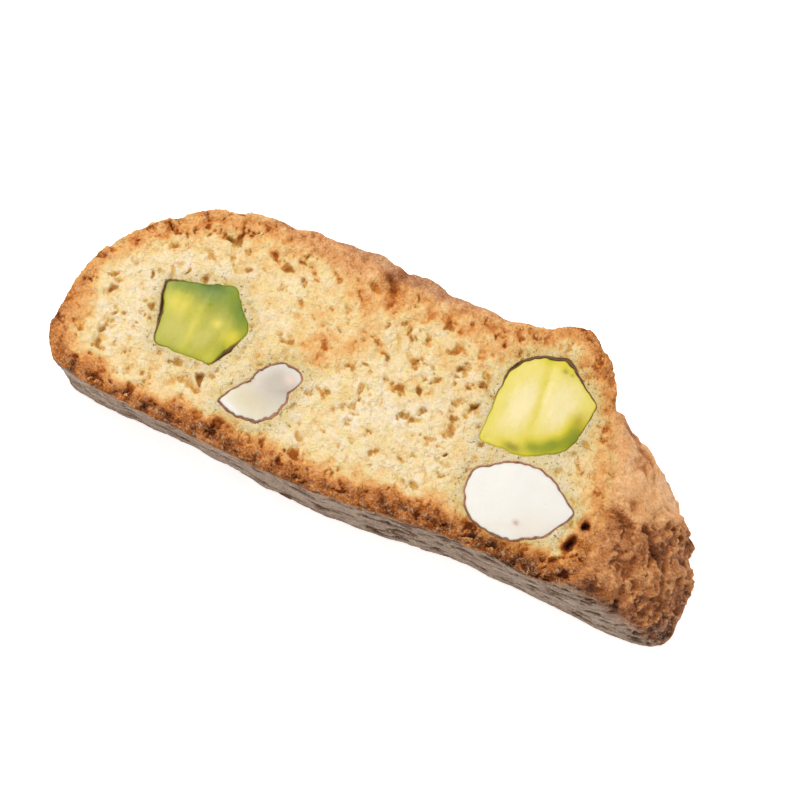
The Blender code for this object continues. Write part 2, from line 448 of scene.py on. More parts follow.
    def ring(self, face: np.ndarray, depth: float, pull: float, inset: float = 0.0) -> np.ndarray:
        """One ring of the crust, at a depth below the shown face.

        Args:
            face: the outline of the shown face.
            depth: how deep, as a share of the thickness.
            pull: how far the rim's round pulls the ring in, as a share of the round's width.
            inset: how much further in the ring lies, in millimetres.

        Returns:
            Points (x, y, z) of the ring.
        """
        round_out = math.sqrt(1.0 - (1.0 - depth) ** 2)
        sweep = depth + self.toe_bulge * (round_out - depth)
        flat = face + (self.back(face) - face) * sweep
        width = self.rim_width(face) if depth < 0.5 else self.rim_round
        barrel = self.wall_barrel * ramp01(face[..., 1] / self.side_ramp) * math.sin(math.pi * depth)
        out = barrel - pull * width - inset
        flat = flat + ring_normals(flat) * out[..., None]
        return stack(flat[..., 0], flat[..., 1], THICKNESS * (1.0 - depth))


def unit(vectors: np.ndarray) -> np.ndarray:
    """The vectors at a length of 1."""
    return vectors / np.maximum(np.linalg.norm(vectors, axis=-1, keepdims=True), 1e-9)


def ring_normals(points: np.ndarray) -> np.ndarray:
    """The outward normals of an anticlockwise closed ring in the plane."""
    along = np.roll(points, -1, axis=0) - np.roll(points, 1, axis=0)
    return unit(stack(along[..., 1], -along[..., 0]))


# ---------------------------------------------------------------------------------------------
# Meshes
# ---------------------------------------------------------------------------------------------


def grid_quads(rows: int, columns: int, wrap_rows: bool = False, wrap_columns: bool = False) -> np.ndarray:
    """The quads of a grid of points stored row by row.

    Args:
        rows, columns: the size of the grid.
        wrap_rows, wrap_columns: whether the last row or column joins the first.

    Returns:
        Four point numbers for each quad, which face along (row step) x (column step).
    """
    i = np.arange(rows if wrap_rows else rows - 1)[:, None]
    j = np.arange(columns if wrap_columns else columns - 1)[None, :]
    down, across = (i + 1) % rows, (j + 1) % columns
    corners = (i * columns + j, down * columns + j, down * columns + across, i * columns + across)
    return np.stack(np.broadcast_arrays(*corners), axis=-1).reshape(-1, 4)


@dataclass
class Skein:
    """The points, faces and painted values of one piece, in the slice's frame."""

    name: str
    points: np.ndarray
    faces: list[np.ndarray]
    paint: dict[str, np.ndarray] = field(default_factory=dict)

    def to_object(self, place: Vector, material: bpy.types.Material) -> bpy.types.Object:
        """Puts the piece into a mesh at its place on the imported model.

        Args:
            place: the move from the slice's frame to the model's, in millimetres.
            material: the finish.

        Returns:
            The new object, at the origin, unturned and unscaled.
        """
        mesh = bpy.data.meshes.new(self.name)
        sizes = [len(block) for block in self.faces]
        widths = [block.shape[1] for block in self.faces]
        corners = np.concatenate([block.ravel() for block in self.faces]).astype(np.int32)
        totals = np.repeat(widths, sizes).astype(np.int32)
        starts = np.concatenate([[0], np.cumsum(totals)[:-1]]).astype(np.int32)
        mesh.vertices.add(len(self.points))
        mesh.vertices.foreach_set("co", ((self.points + np.array(place)) * MM).ravel())
        mesh.loops.add(len(corners))
        mesh.loops.foreach_set("vertex_index", corners)
        mesh.polygons.add(len(totals))
        mesh.polygons.foreach_set("loop_start", starts)
        mesh.polygons.foreach_set("loop_total", totals)
        mesh.polygons.foreach_set("use_smooth", np.ones(len(totals), dtype=bool))
        for name, values in self.paint.items():
            layer = mesh.attributes.new(name, "FLOAT", "POINT")
            layer.data.foreach_set("value", values.astype(np.float32).ravel())
        mesh.update(calc_edges=True)
        mesh.validate()
        mesh.set_sharp_from_angle(angle=math.radians(75.0))
        piece = bpy.data.objects.new(self.name, mesh)
        piece.data.materials.append(material)
        bpy.context.scene.collection.objects.link(piece)
        return piece


def surface_normals(grid: np.ndarray, wrap_columns: bool) -> np.ndarray:
    """The unit normals of a grid surface: the cross product of its steps by row and by column."""
    down = np.gradient(grid, axis=0)
    if wrap_columns:
        across = (np.roll(grid, -1, axis=1) - np.roll(grid, 1, axis=1)) * 0.5
    else:
        across = np.gradient(grid, axis=1)
    return unit(np.cross(down, across))


# ---------------------------------------------------------------------------------------------
# Shader graphs
# ---------------------------------------------------------------------------------------------


def screen(red: int, green: int, blue: int) -> Colour:
    """A colour given as screen values from 0 to 255, in the linear values that shaders take."""
    channels = (c / 255.0 for c in (red, green, blue))
    r, g, b = (c / 12.92 if c <= 0.04045 else ((c + 0.055) / 1.055) ** 2.4 for c in channels)
    return (r, g, b, 1.0)


class Shade:
    """A shader socket on which arithmetic adds Math nodes."""

    def __init__(self, graph: "Graph", socket: bpy.types.NodeSocket) -> None:
        """Wraps one output socket of a graph."""
        self.graph = graph
        self.socket = socket

    def _math(self, operation: str, *values: Any) -> "Shade":
        """The Math node of an operation on these values."""
        return self.graph.node("ShaderNodeMath", {"operation": operation}, dict(enumerate(values)))

    def __add__(self, other: Any) -> "Shade":
        """self + other."""
        return self._math("ADD", self, other)

    def __sub__(self, other: Any) -> "Shade":
        """self - other."""
        return self._math("SUBTRACT", self, other)

    def __rsub__(self, other: Any) -> "Shade":
        """other - self."""
        return self._math("SUBTRACT", other, self)

    def __mul__(self, other: Any) -> "Shade":
        """self * other."""
        return self._math("MULTIPLY", self, other)

    def __truediv__(self, other: Any) -> "Shade":
        """self / other."""
        return self._math("DIVIDE", self, other)

    def __pow__(self, other: Any) -> "Shade":
        """self to the power of other."""
        return self._math("POWER", self, other)

    def __abs__(self) -> "Shade":
        """The size of self without its sign."""
        return self._math("ABSOLUTE", self)

    __radd__ = __add__
    __rmul__ = __mul__

    def within(self, low: float, high: float) -> "Shade":
        """The value as a share of the way from low to high, kept between 0 and 1."""
        settings = {"clamp": True, "interpolation_type": "SMOOTHSTEP"}
        return self.graph.node("ShaderNodeMapRange", settings, {0: self, 1: low, 2: high})


class Graph:
    """The node graph of one material."""

    def __init__(self, name: str) -> None:
        """Starts an empty material of this name."""
        self.material = bpy.data.materials.new(name)
        self.material.use_nodes = True
        self.tree = self.material.node_tree
        self.tree.nodes.clear()

    def node(
        self, kind: str, settings: dict[str, Any] | None = None, inputs: dict[Any, Any] | None = None, output: Any = 0
    ) -> Shade:
        """Adds any node.

        Args:
            kind: the node's type.
            settings: its properties, and a ramp's stops as (position, colour) pairs.
            inputs: a value or a Shade for each input, by its number or name.
            output: the number or name of the output to return.

        Returns:
            The output, as a Shade.
        """
        made = self.tree.nodes.new(kind)
        for name, value in (settings or {}).items():
            if name == "stops":
                spots = made.color_ramp.elements
                while len(spots) < len(value):
                    spots.new(1.0)
                for spot, (position, colour) in zip(spots, value):
                    spot.position, spot.color = position, colour
            else:
                setattr(made, name, value)
        for name, value in (inputs or {}).items():
            if isinstance(value, Shade):
                self.tree.links.new(value.socket, made.inputs[name])
            else:
                made.inputs[name].default_value = value
        return Shade(self, made.outputs[output])

    def painted(self, name: str) -> Shade:
        """A value painted on the mesh."""
        return self.node("ShaderNodeAttribute", {"attribute_name": name}, output="Fac")

    def place(self, stretch: tuple[float, float, float] = (1.0, 1.0, 1.0)) -> Shade:
        """The place on the piece in millimetres, divided along each axis by a stretch."""
        spot = self.node("ShaderNodeTexCoord", output="Object")
        scale = tuple(1.0 / (MM * s) for s in stretch)
        return self.node("ShaderNodeMapping", {}, {"Vector": spot, "Scale": scale})

    def noise(self, place: Shade, size: float, detail: float = 3.0, rough: float = 0.55) -> Shade:
        """Noise from -1 to 1 with features of the given size."""
        settings = {"noise_dimensions": "3D"}
        inputs = {"Vector": place, "Scale": 1.0 / size, "Detail": detail, "Roughness": rough}
        return self.node("ShaderNodeTexNoise", settings, inputs) * 2.0 - 1.0

    def cells(self, place: Shade, size: float) -> Shade:
        """The distance to the nearest of many scattered points, 0 at a point."""
        inputs = {"Vector": place, "Scale": 1.0 / size}
        return self.node("ShaderNodeTexVoronoi", {"feature": "F1"}, inputs, "Distance")

    def ramp(self, value: Shade, stops: tuple[tuple[float, Colour], ...]) -> Shade:
        """A colour for each value, read between the stops."""
        return self.node("ShaderNodeValToRGB", {"stops": stops}, {"Fac": value})

    def mix(self, share: Any, first: Any, second: Any, blend: str = "MIX") -> Shade:
        """A share of the way from the first colour to the second."""
        settings = {"data_type": "RGBA", "blend_type": blend, "clamp_factor": True}
        return self.node("ShaderNodeMix", settings, {0: share, 6: first, 7: second}, 2)

    def bump(self, height: Shade, distance: float, strength: float = 1.0) -> Shade:
        """Normals of a surface raised by the height, times a distance in millimetres."""
        inputs = {"Height": height, "Distance": distance * MM, "Strength": strength}
        return self.node("ShaderNodeBump", {}, inputs)

    def finish(self, varying: dict[str, Any], constant: dict[str, Any]) -> bpy.types.Material:
        """Closes the graph with a Principled shader.

        Args:
            varying: links and values that change over the surface.
            constant: values that are the same all over it.

        Returns:
            The material.
        """
        shader = self.node("ShaderNodeBsdfPrincipled", {}, {**constant, **varying})
        self.node_output(shader)
        return self.material

    def node_output(self, shader: Shade) -> None:
        """Links a shader to the material's surface."""
        out = self.tree.nodes.new("ShaderNodeOutputMaterial")
        self.tree.links.new(shader.socket, out.inputs["Surface"])


# ---------------------------------------------------------------------------------------------
# Finishes
# ---------------------------------------------------------------------------------------------


Stops = tuple[tuple[float, Colour], ...]


@dataclass(frozen=True)
class DoughFinish:
    """Baked dough: crumb from cream to brown, satin crust, and the floury, greyish sole."""

    crumb: Stops = (
        (0.0, screen(247, 230, 201)),
        (0.15, screen(243, 219, 172)),
        (0.3, screen(239, 202, 140)),
        (0.42, screen(236, 182, 113)),
        (0.54, screen(226, 158, 89)),
        (0.66, screen(203, 129, 64)),
        (0.78, screen(168, 99, 45)),
        (0.9, screen(127, 68, 26)),
        (1.0, screen(88, 43, 13)),
    )
    crust: Stops = (
        (0.0, screen(248, 208, 164)),
        (0.2, screen(240, 182, 124)),
        (0.38, screen(218, 154, 96)),
        (0.54, screen(188, 119, 66)),
        (0.7, screen(158, 92, 44)),
        (0.85, screen(120, 68, 30)),
        (1.0, screen(82, 44, 18)),
    )
    sole: Stops = (
        (0.0, screen(188, 168, 150)),
        (0.35, screen(154, 130, 112)),
        (0.6, screen(122, 95, 76)),
        (0.85, screen(80, 54, 36)),
        (1.0, screen(44, 28, 18)),
    )
    # The colour of the painted highlight on the toasted crumb's grain tips.
    peach_highlight: Colour = screen(235, 191, 147)
    straw: Colour = screen(240, 219, 151)
    damp: Colour = screen(228, 226, 208)
    dots: Colour = screen(140, 122, 76)
    # pit and deep: painted shade, multiplied into the relief's recesses.
    pit: Colour = screen(230, 196, 128)
    deep: Colour = screen(172, 136, 78)
    flour: Colour = screen(236, 212, 188)

    def material(self, name: str) -> bpy.types.Material:
        """Builds the finish: a ramp for each kind of surface, read at how much it was baked,
        with mottling at three sizes, painted shade that makes the relief's recesses darker and
        warmer, painted highlights of a pale orange-pink on grain tips, and specks of flour."""
        g = Graph(name)
        place, streaked = g.place(), g.place((3.2, 1.0, 1.0))
        bake, hollow, damp = g.painted("bake"), g.painted("hollow"), g.painted("damp")
        crusty, under = g.painted("crust"), g.painted("sole")
        mottle = g.noise(place, 1.4, 3.0)
        tone = g.noise(place, 1.0, 4.0, 0.65)
        fine = g.noise(place, 0.6, 4.0, 0.7)
        grit = g.noise(place, 0.24, 3.0, 0.6)
        granule = g.cells(place, 0.5) - 0.45
        # Painted shade: sunk reads the ramps browner in the relief's recesses.
        sunk = hollow.within(0.05, 0.6) - 0.35
        busy = 0.34 + 0.3 * bake + 0.6 * bake * bake
        swing = 0.14 * mottle + 0.3 * fine + 0.34 * grit + 0.05 * granule
        crumb = g.ramp(bake + busy * swing + 0.1 * sunk, self.crumb)
        # Painted highlight: the grain tips of the toasted crumb turn pale orange-pink, though not in recesses.
        lit = fine.within(0.0, 0.3) * bake.within(0.28, 0.5) * (1.0 - hollow)
        crumb = g.mix(0.6 * lit, crumb, self.peach_highlight)
        pale = 1.0 - bake.within(0.24, 0.44)
        crumb = g.mix(0.65 * tone.within(-0.04, 0.28) * pale, crumb, self.straw)
        # Painted shade: the crust's and the sole's ramps are also read darker in recesses.
        outside = g.ramp(bake + 0.8 * swing + 0.24 * sunk, self.crust)
        streaks = g.noise(streaked, 0.7, 4.0, 0.7)
        below = g.ramp(0.42 + 0.4 * streaks + 0.7 * swing + 0.5 * sunk, self.sole)
        colour = g.mix(under, g.mix(crusty, crumb, outside), below)
        colour = g.mix(damp * 0.8, colour, self.damp, "MULTIPLY")
        dotted = g.noise(place, 0.4, 2.0).within(0.22, 0.38) * (0.25 + damp)
        colour = g.mix(0.7 * dotted, colour, self.dots, "MULTIPLY")
        # Painted shade in the relief's recesses: golden in the shallow ones, brown in the deepest, weaker on the
        # crust.
        inner = 0.8 - 0.56 * crusty
        colour = g.mix(hollow.within(0.26, 0.7) * inner, colour, self.pit, "MULTIPLY")
        colour = g.mix(hollow.within(0.62, 1.15) * inner, colour, self.deep, "MULTIPLY")
        specks = g.noise(place, 0.42, 3.0, 0.7).within(0.08, 0.42) * g.painted("flour")
        colour = g.mix(specks, colour, self.flour)
        relief = 0.7 * fine + 0.7 * grit - 0.4 * granule
        return g.finish(
            {
                "Base Color": colour,
                "Roughness": 0.82 - 0.3 * crusty * (1.0 - under) + 0.2 * grit + 0.2 * specks,
                "Normal": g.bump(relief, 0.24, 1.0),
            },
            {
                "Subsurface Weight": 0.15,
                "Subsurface Radius": (1.0, 0.6, 0.3),
                "Subsurface Scale": 0.4 * MM,
                "Specular IOR Level": 0.2,
            },
        )


@dataclass(frozen=True)
class AlmondFinish:
    """Cut almond: ivory, faintly waxy, with slight clouding."""

    ivory: Colour = screen(216, 213, 206)
    cream: Colour = screen(205, 192, 153)
    grey: Colour = screen(176, 165, 151)
    pink: Colour = screen(212, 184, 167)
    speck: Colour = screen(160, 104, 60)

    def material(self, name: str) -> bpy.types.Material:
        """Builds the finish: ivory tinted cream, grey and tan where it is painted so."""
        g = Graph(name)
        place = g.place()
        cloud = g.noise(place, 2.2, 3.0)
        fine = g.noise(place, 0.35, 3.0)
        colour = g.mix(g.painted("cream") + 0.12 * cloud, self.ivory, self.cream)
        colour = g.mix(g.painted("grey") + 0.1 * cloud + 0.08 * fine, colour, self.grey)
        colour = g.mix(g.painted("pink"), colour, self.pink)
        colour = g.mix(g.painted("speck") * (1.0 + fine), colour, self.speck)
        return g.finish(
            {"Base Color": colour, "Roughness": 0.45 + 0.08 * fine, "Normal": g.bump(fine, 0.015, 0.6)},
            {
                "Subsurface Weight": 0.3,
                "Subsurface Radius": (1.0, 0.8, 0.6),
                "Subsurface Scale": 0.8 * MM,
                "Specular IOR Level": 0.3,
            },
        )


@dataclass(frozen=True)
class PistachioFinish:
    """Cut pistachio: waxy, cream yellow within and green towards the outside."""

    stops: Stops = (
        (0.0, screen(218, 204, 150)),
        (0.14, screen(209, 193, 98)),
        (0.28, screen(200, 184, 49)),
        (0.42, screen(174, 167, 27)),
        (0.56, screen(140, 143, 7)),
        (0.7, screen(114, 130, 7)),
        (0.85, screen(95, 118, 7)),
        (1.0, screen(73, 101, 7)),
    )
    khaki: Colour = screen(184, 171, 74)
    brown: Colour = screen(128, 97, 10)

    def material(self, name: str) -> bpy.types.Material:
        """Builds the finish: a ramp of greenness with soft streaks along the kernel."""
        g = Graph(name)
        place, streaked = g.place(), g.place((0.8, 2.6, 0.8))
        streaks = g.noise(streaked, 1.0, 3.0, 0.6)
        fine = g.noise(place, 0.4, 3.0)
        colour = g.ramp(g.painted("green") + 0.06 * streaks + 0.05 * fine, self.stops)
        colour = g.mix(g.painted("khaki"), colour, self.khaki)
        colour = g.mix(g.painted("brown"), colour, self.brown)
        return g.finish(
            {
                "Base Color": colour,
                "Roughness": 0.4 + 0.08 * streaks,
                "Normal": g.bump(streaks + 0.5 * fine, 0.025, 0.6),
            },
            {
                "Subsurface Weight": 0.3,
                "Subsurface Radius": (1.0, 0.9, 0.3),
                "Subsurface Scale": 0.6 * MM,
                "Specular IOR Level": 0.2,
            },
        )


@dataclass(frozen=True)
class SkinFinish:
    """The thin papery skin of a nut, seen as a fine line round its cut."""

    light: Colour = screen(178, 122, 92)
    dark: Colour = screen(122, 72, 52)
    # deep: the pistachios' own dark skin, and on an almond's lower side a painted shade.
    deep: Colour = screen(74, 46, 26)
    pale: Colour = screen(196, 182, 72)

    def material(self, name: str) -> bpy.types.Material:
        """Builds the finish: brown, mottled, and pale where the skin is painted thin."""
        g = Graph(name)
        place = g.place()
        mottle = g.noise(place, 0.7, 4.0, 0.6)
        colour = g.mix(mottle.within(-0.4, 0.4), self.dark, self.light)
        # Darker where painted deep: the pistachios' own dark skin, and painted shade on an almond's lower side.
        colour = g.mix(g.painted("deep"), colour, self.deep)
        colour = g.mix(g.painted("thin"), colour, self.pale)
        return g.finish(
            {"Base Color": colour, "Roughness": 0.6 + 0.1 * mottle, "Normal": g.bump(mottle, 0.03, 0.6)},
            {"Specular IOR Level": 0.4},
        )


# ---------------------------------------------------------------------------------------------
# Nuts
# ---------------------------------------------------------------------------------------------


@dataclass(frozen=True)
class Edge:
    """A side of a nut's cut: the direction that it faces in degrees, and its distance."""

    direction: float
    distance: float


@dataclass(frozen=True)
class Notch:
    """A dent in a nut's outline or a gap beside it: its direction, depth and half width."""

    direction: float
    depth: float
    half_width: float

    def at(self, angle: np.ndarray) -> np.ndarray:
        """The depth times a bell curve of the angle from the direction."""
        off = (np.degrees(angle) - self.direction + 180.0) % 360.0 - 180.0
        return self.depth * bell(off / self.half_width)


@dataclass(frozen=True)
class Tint:
    """A soft-edged patch of colour: its middle, its radii and how strong it is."""

    x: float
    y: float
    radius_x: float
    radius_y: float
    amount: float
    turn: float = 0.0

    def on(self, x: np.ndarray, y: np.ndarray) -> np.ndarray:
        """The amount times a bell curve of the distance from the middle, in turned radii."""
        c, s = math.cos(math.radians(self.turn)), math.sin(math.radians(self.turn))
        along, across = (x - self.x) * c + (y - self.y) * s, (y - self.y) * c - (x - self.x) * s
        return self.amount * bell(np.hypot(along / self.radius_x, across / self.radius_y))


@dataclass(frozen=True)
class Nut:
    """One cut nut: a polygon with rounded corners on the shown face, tapering into the dough.

    Attributes:
        name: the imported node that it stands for.
        kernel: its kind.
        middle, sides, dents, sharpness, depth, lean: its shape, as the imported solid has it.
        skin: the thickness of its skin.
        bands: where the skin is thicker, by how much in millimetres.
        tints: patches of its main painted colour.
        extra: patches of its second painted colour.
        specks: small stains.
        blush: pinkish patches.
        thin: patches where its skin is pale.
        gaps: where the dough has shrunk away from it, by how much in millimetres.
        groove: the line along which its two halves meet, from its top end to its low end.
    """

    name: str
    kernel: Kernel
    middle: tuple[float, float]
    sides: tuple[Edge, ...]
    depth: float
    lean: tuple[float, float]
    skin: float
    sharpness: float = 18.0
    dents: tuple[Notch, ...] = ()
    tints: tuple[Tint, ...] = ()
    extra: tuple[Tint, ...] = ()
    specks: tuple[Tint, ...] = ()
    blush: tuple[Tint, ...] = ()
    thin: tuple[Tint, ...] = ()
    bands: tuple[Notch, ...] = ()
    gaps: tuple[Notch, ...] = ()
    groove: tuple[float, float, float, float] | None = None
    angles: int = 240
    waist: float = 0.12
    swell: float = 0.035
    proud: float = 0.12
    recess: float = 0.12

    @property
    def through(self) -> bool:
        """Whether the nut shows on the back cut face too."""
        return self.depth > THICKNESS

    @property
    def bottom(self) -> float:
        """How deep the nut's lowest point lies."""
        return min(self.depth, THICKNESS - self.recess)

    def reach(self, angle: np.ndarray) -> np.ndarray:
        """How far the cut reaches from its middle in each direction.

        The smooth minimum of the sides, one over the root of the sum of powers of
        cos(angle from the side) / distance, less the dents, with a slight unevenness of sines.

        Args:
            angle: directions in radians.

        Returns:
            Distances from the middle.
        """
        total = np.zeros(np.shape(angle))
        for side in self.sides:
            facing = np.maximum(0.0, np.cos(angle - math.radians(side.direction)))
            total = total + (facing / side.distance) ** self.sharpness
        reach = total ** (-1.0 / self.sharpness)
        for dent in self.dents:
            reach = reach * (1.0 - dent.at(angle))
        rough = np.sin(9.0 * angle + self.depth) + 0.7 * np.sin(14.0 * angle + 2.0 * self.depth)
        rough = rough + 0.6 * np.sin(23.0 * angle + 3.0 * self.depth)
        return reach + 0.05 * rough

    def skin_width(self, angle: np.ndarray) -> np.ndarray:
        """How thick the skin is in each direction, from an even share and the bands."""
        uneven = 0.5 + 0.2 * np.sin(7.0 * angle) + 0.2 * np.sin(17.0 * angle + self.depth)
        uneven = uneven + 0.2 * np.sin(31.0 * angle + 2.0)
        bands = sum((band.at(angle) for band in self.bands), np.zeros(np.shape(angle)))
        return (self.skin + bands) * (0.7 + 0.6 * uneven)

    def width(self, down: np.ndarray) -> np.ndarray:
        """How wide the nut is at a depth, beside its cut: a slight swell, then a rounded taper."""
        share = down / self.depth
        belly = np.maximum(0.0, (share - self.waist) / (1.0 - self.waist))
        swell = 1.0 + self.swell * np.sin(np.pi * np.minimum(1.0, share / self.waist / 2.0))
        return swell * np.sqrt(np.maximum(0.0, 1.0 - belly**2))

    def beyond(self, x: np.ndarray, y: np.ndarray, down: float) -> tuple[np.ndarray, np.ndarray]:
        """How far points lie outside the nut at a depth, and in which direction from its middle."""
        dx = x - self.middle[0] - self.lean[0] * down
        dy = y - self.middle[1] - self.lean[1] * down
        angle = np.arctan2(dy, dx)
        return np.hypot(dx, dy) - self.reach(angle) * self.width(np.array(down)), angle

    def cut_relief(self, x: np.ndarray, y: np.ndarray, share: np.ndarray, lattice: Lattice) -> np.ndarray:
        """The height of the cut surface: a slight dome, knife marks, small chips and the groove.

        Args:
            x, y: places on the cut.
            share: how far out they lie, 0 in the middle and 1 at the edge.
            lattice: the noise.

        Returns:
            Heights above the cut plane.
        """
        place = stack(x, y, 0.0)
        marks = lattice.layered(place * np.array([0.35, 1.6, 1.0]), 1.0, 2, salt=3)
        height = self.proud * (1.0 - 0.9 * share**4) + 0.006 * marks
        height += 0.05 * lattice.layered(place, 3.2, 2, salt=5)
        chips = lattice.pores(place, 2.6, 0.25, (0.08, 0.16), salt=9)
        height -= 0.05 * np.clip(chips, 0.0, 1.0)
        if self.groove:
            x0, y0, x1, y1 = self.groove
            run = ((y - y1) / (y0 - y1)).clip(0.0, 1.0)
            line = x1 + (x0 - x1) * run + 0.12 * np.sin(1.4 * y)
            open_end = ramp01((y - y1) / (0.45 * (y0 - y1)))
            height -= 0.025 * open_end * bell((x - line) / 0.4)
            height += 0.03 * open_end * bell((np.abs(x - line) - 1.5) / 1.1)
        return height


@dataclass
class NutMaker:
    """Builds a nut's flesh and its skin around the flesh.

    Attributes:
        nut: the nut.
        lattice: the noise of its cut surface.
        edge: the radius of the rounded edge of the cut.
    """

    nut: Nut
    lattice: Lattice
    face_rows: int = 64
    edge_rows: int = 6
    side_rows: int = 22
    edge: float = 0.16

    def flesh(self) -> Skein:
        """The flesh: rings from the middle of the cut, over a rounded edge, down the side to the
        bottom. A ring's point is the middle + lean * depth + reach * width * (cos, sin)."""
        nut = self.nut
        angle = 2.0 * np.pi * np.arange(nut.angles) / nut.angles
        reach = nut.reach(angle) - nut.skin_width(angle)
        share = np.arange(1, self.face_rows + 1)[:, None] / self.face_rows
        inner = (reach - self.edge) * share
        x, y = nut.middle[0] + inner * np.cos(angle), nut.middle[1] + inner * np.sin(angle)
        face = stack(x, y, THICKNESS + nut.cut_relief(x, y, share, self.lattice))
        turn = 0.5 * np.pi * np.arange(1, self.edge_rows + 1)[:, None] / self.edge_rows
        round_radius = reach - self.edge * (1.0 - np.sin(turn))
        rim = face[-1, :, 2] - self.edge * (1.0 - np.cos(turn))
        round_x = nut.middle[0] + round_radius * np.cos(angle)
        round_y = nut.middle[1] + round_radius * np.sin(angle)
        down = self.edge + (nut.bottom - self.edge) * np.arange(1, self.side_rows + 1)[:, None] / self.side_rows
        side_radius = np.maximum(0.05, reach * nut.width(down))
        side_x = nut.middle[0] + nut.lean[0] * down + side_radius * np.cos(angle)
        side_y = nut.middle[1] + nut.lean[1] * down + side_radius * np.sin(angle)
        side = stack(side_x, side_y, THICKNESS - down)
        grid = np.concatenate([face, stack(round_x, round_y, rim), side])
        top = np.array([[*nut.middle, THICKNESS + nut.proud]])
        under_height = THICKNESS - nut.bottom
        low_share = np.linspace(0.96, 0.06, 16)[:, None]
        low = side[-1].mean(axis=0) + (side[-1] - side[-1].mean(axis=0)) * low_share[..., None]
        if nut.through:
            low[..., 2] = under_height - 0.06 * (1.0 - low_share)
        grid = np.concatenate([grid, low])
        tip = low[-1].mean(axis=0)[None, :]
        rows, columns = grid.shape[:2]
        points = np.concatenate([grid.reshape(-1, 3), top, tip])
        step = np.arange(columns)
        following = (step + 1) % columns
        last = (rows - 1) * columns
        crown = np.stack([np.full(columns, rows * columns), step, following], axis=1)
        foot = np.stack([np.full(columns, rows * columns + 1), last + following, last + step], axis=1)
        skein = Skein(nut.name, points, [grid_quads(rows, columns, wrap_columns=True), crown, foot])
        skein.paint = self.paint(points)
        return skein

    def paint(self, points: np.ndarray) -> dict[str, np.ndarray]:
        """The painted colours of the flesh: the tints, and the nut's own shading to its edge."""
        nut = self.nut
        x, y, z = points.T
        down = np.clip(THICKNESS - z, 0.0, THICKNESS)
        x, y = x - nut.lean[0] * down, y - nut.lean[1] * down
        main, second, specks = (
            sum((t.on(x, y) for t in tints), np.zeros(len(x)))
            for tints in (nut.tints, nut.extra, nut.specks)
        )
        outside, _ = nut.beyond(x, y, 0.0)
        edge = ramp01(1.0 + outside / 1.1)
        if nut.kernel is Kernel.ALMOND:
            pink = sum((t.on(x, y) for t in nut.blush), np.zeros(len(x)))
            return {"cream": main + 0.1 * edge, "grey": second, "pink": pink, "speck": specks + 0.2 * edge**4}
        base = 0.5 if nut.kernel is Kernel.GREEN_PISTACHIO else 0.17
        return {"green": np.clip(base + main + 0.08 * edge**2, 0.0, 1.0), "khaki": second, "brown": specks}

    def husk(self) -> Skein:
        """The skin: a closed band round the flesh, a torus grid of an outer wall, a rounded top
        edge that stands just proud of the cut, and an inner wall."""
        nut = self.nut
        angle = 2.0 * np.pi * np.arange(nut.angles) / nut.angles
        reach = nut.reach(angle)
        uneven = self.lattice.smooth(stack(6.0 * np.cos(angle), 6.0 * np.sin(angle), 1.0), 1.1, 21)
        proud = 0.01 + 0.03 * uneven
        outer_down = np.array([2.4, 1.6, 0.9, 0.45, 0.15, 0.0])[:, None]
        inner_down = np.array([0.0, 0.15, 0.6, 1.6, 2.4])[:, None]
        thickness = nut.skin_width(angle) + 0.03
        down = np.concatenate([outer_down, inner_down])
        inset = np.concatenate([np.zeros_like(outer_down), np.ones_like(inner_down)]) * thickness
        inset[len(outer_down) - 1] = 0.3 * thickness
        inset[len(outer_down)] = 0.7 * thickness
        radius = (reach - inset) * nut.width(down)
        x = nut.middle[0] + nut.lean[0] * down + radius * np.cos(angle)
        y = nut.middle[1] + nut.lean[1] * down + radius * np.sin(angle)
        edge = nut.cut_relief(x[-1], y[-1], np.ones(nut.angles), self.lattice)
        z = THICKNESS - down + edge + proud * ramp01(1.0 - down / 0.5)
        grid = stack(x, y, z)
        rows, columns = grid.shape[:2]
        faces = grid_quads(rows, columns, wrap_rows=True, wrap_columns=True)[:, ::-1]
        flat = grid.reshape(-1, 3)
        thin = sum(t.on(flat[:, 0], flat[:, 1]) for t in nut.thin) if nut.thin else np.zeros(len(flat))
        # How dark the skin is: the pistachios' own dark skin, and painted shade on an almond's lower side.
        deep = np.full(len(flat), 0.0 if nut.kernel is Kernel.ALMOND else 0.8)
        if nut.kernel is Kernel.ALMOND:
            deep += 0.45 * ramp01((nut.middle[1] - flat[:, 1] - 1.5) / 2.5)
        paint = {"thin": np.clip(thin, 0.0, 1.0), "deep": deep}
        return Skein(nut.name + "_skin", flat, [faces], paint)


def edges(*pairs: tuple[float, float]) -> tuple[Edge, ...]:
    """The sides of a nut from pairs of a direction and a distance."""
    return tuple(Edge(*pair) for pair in pairs)


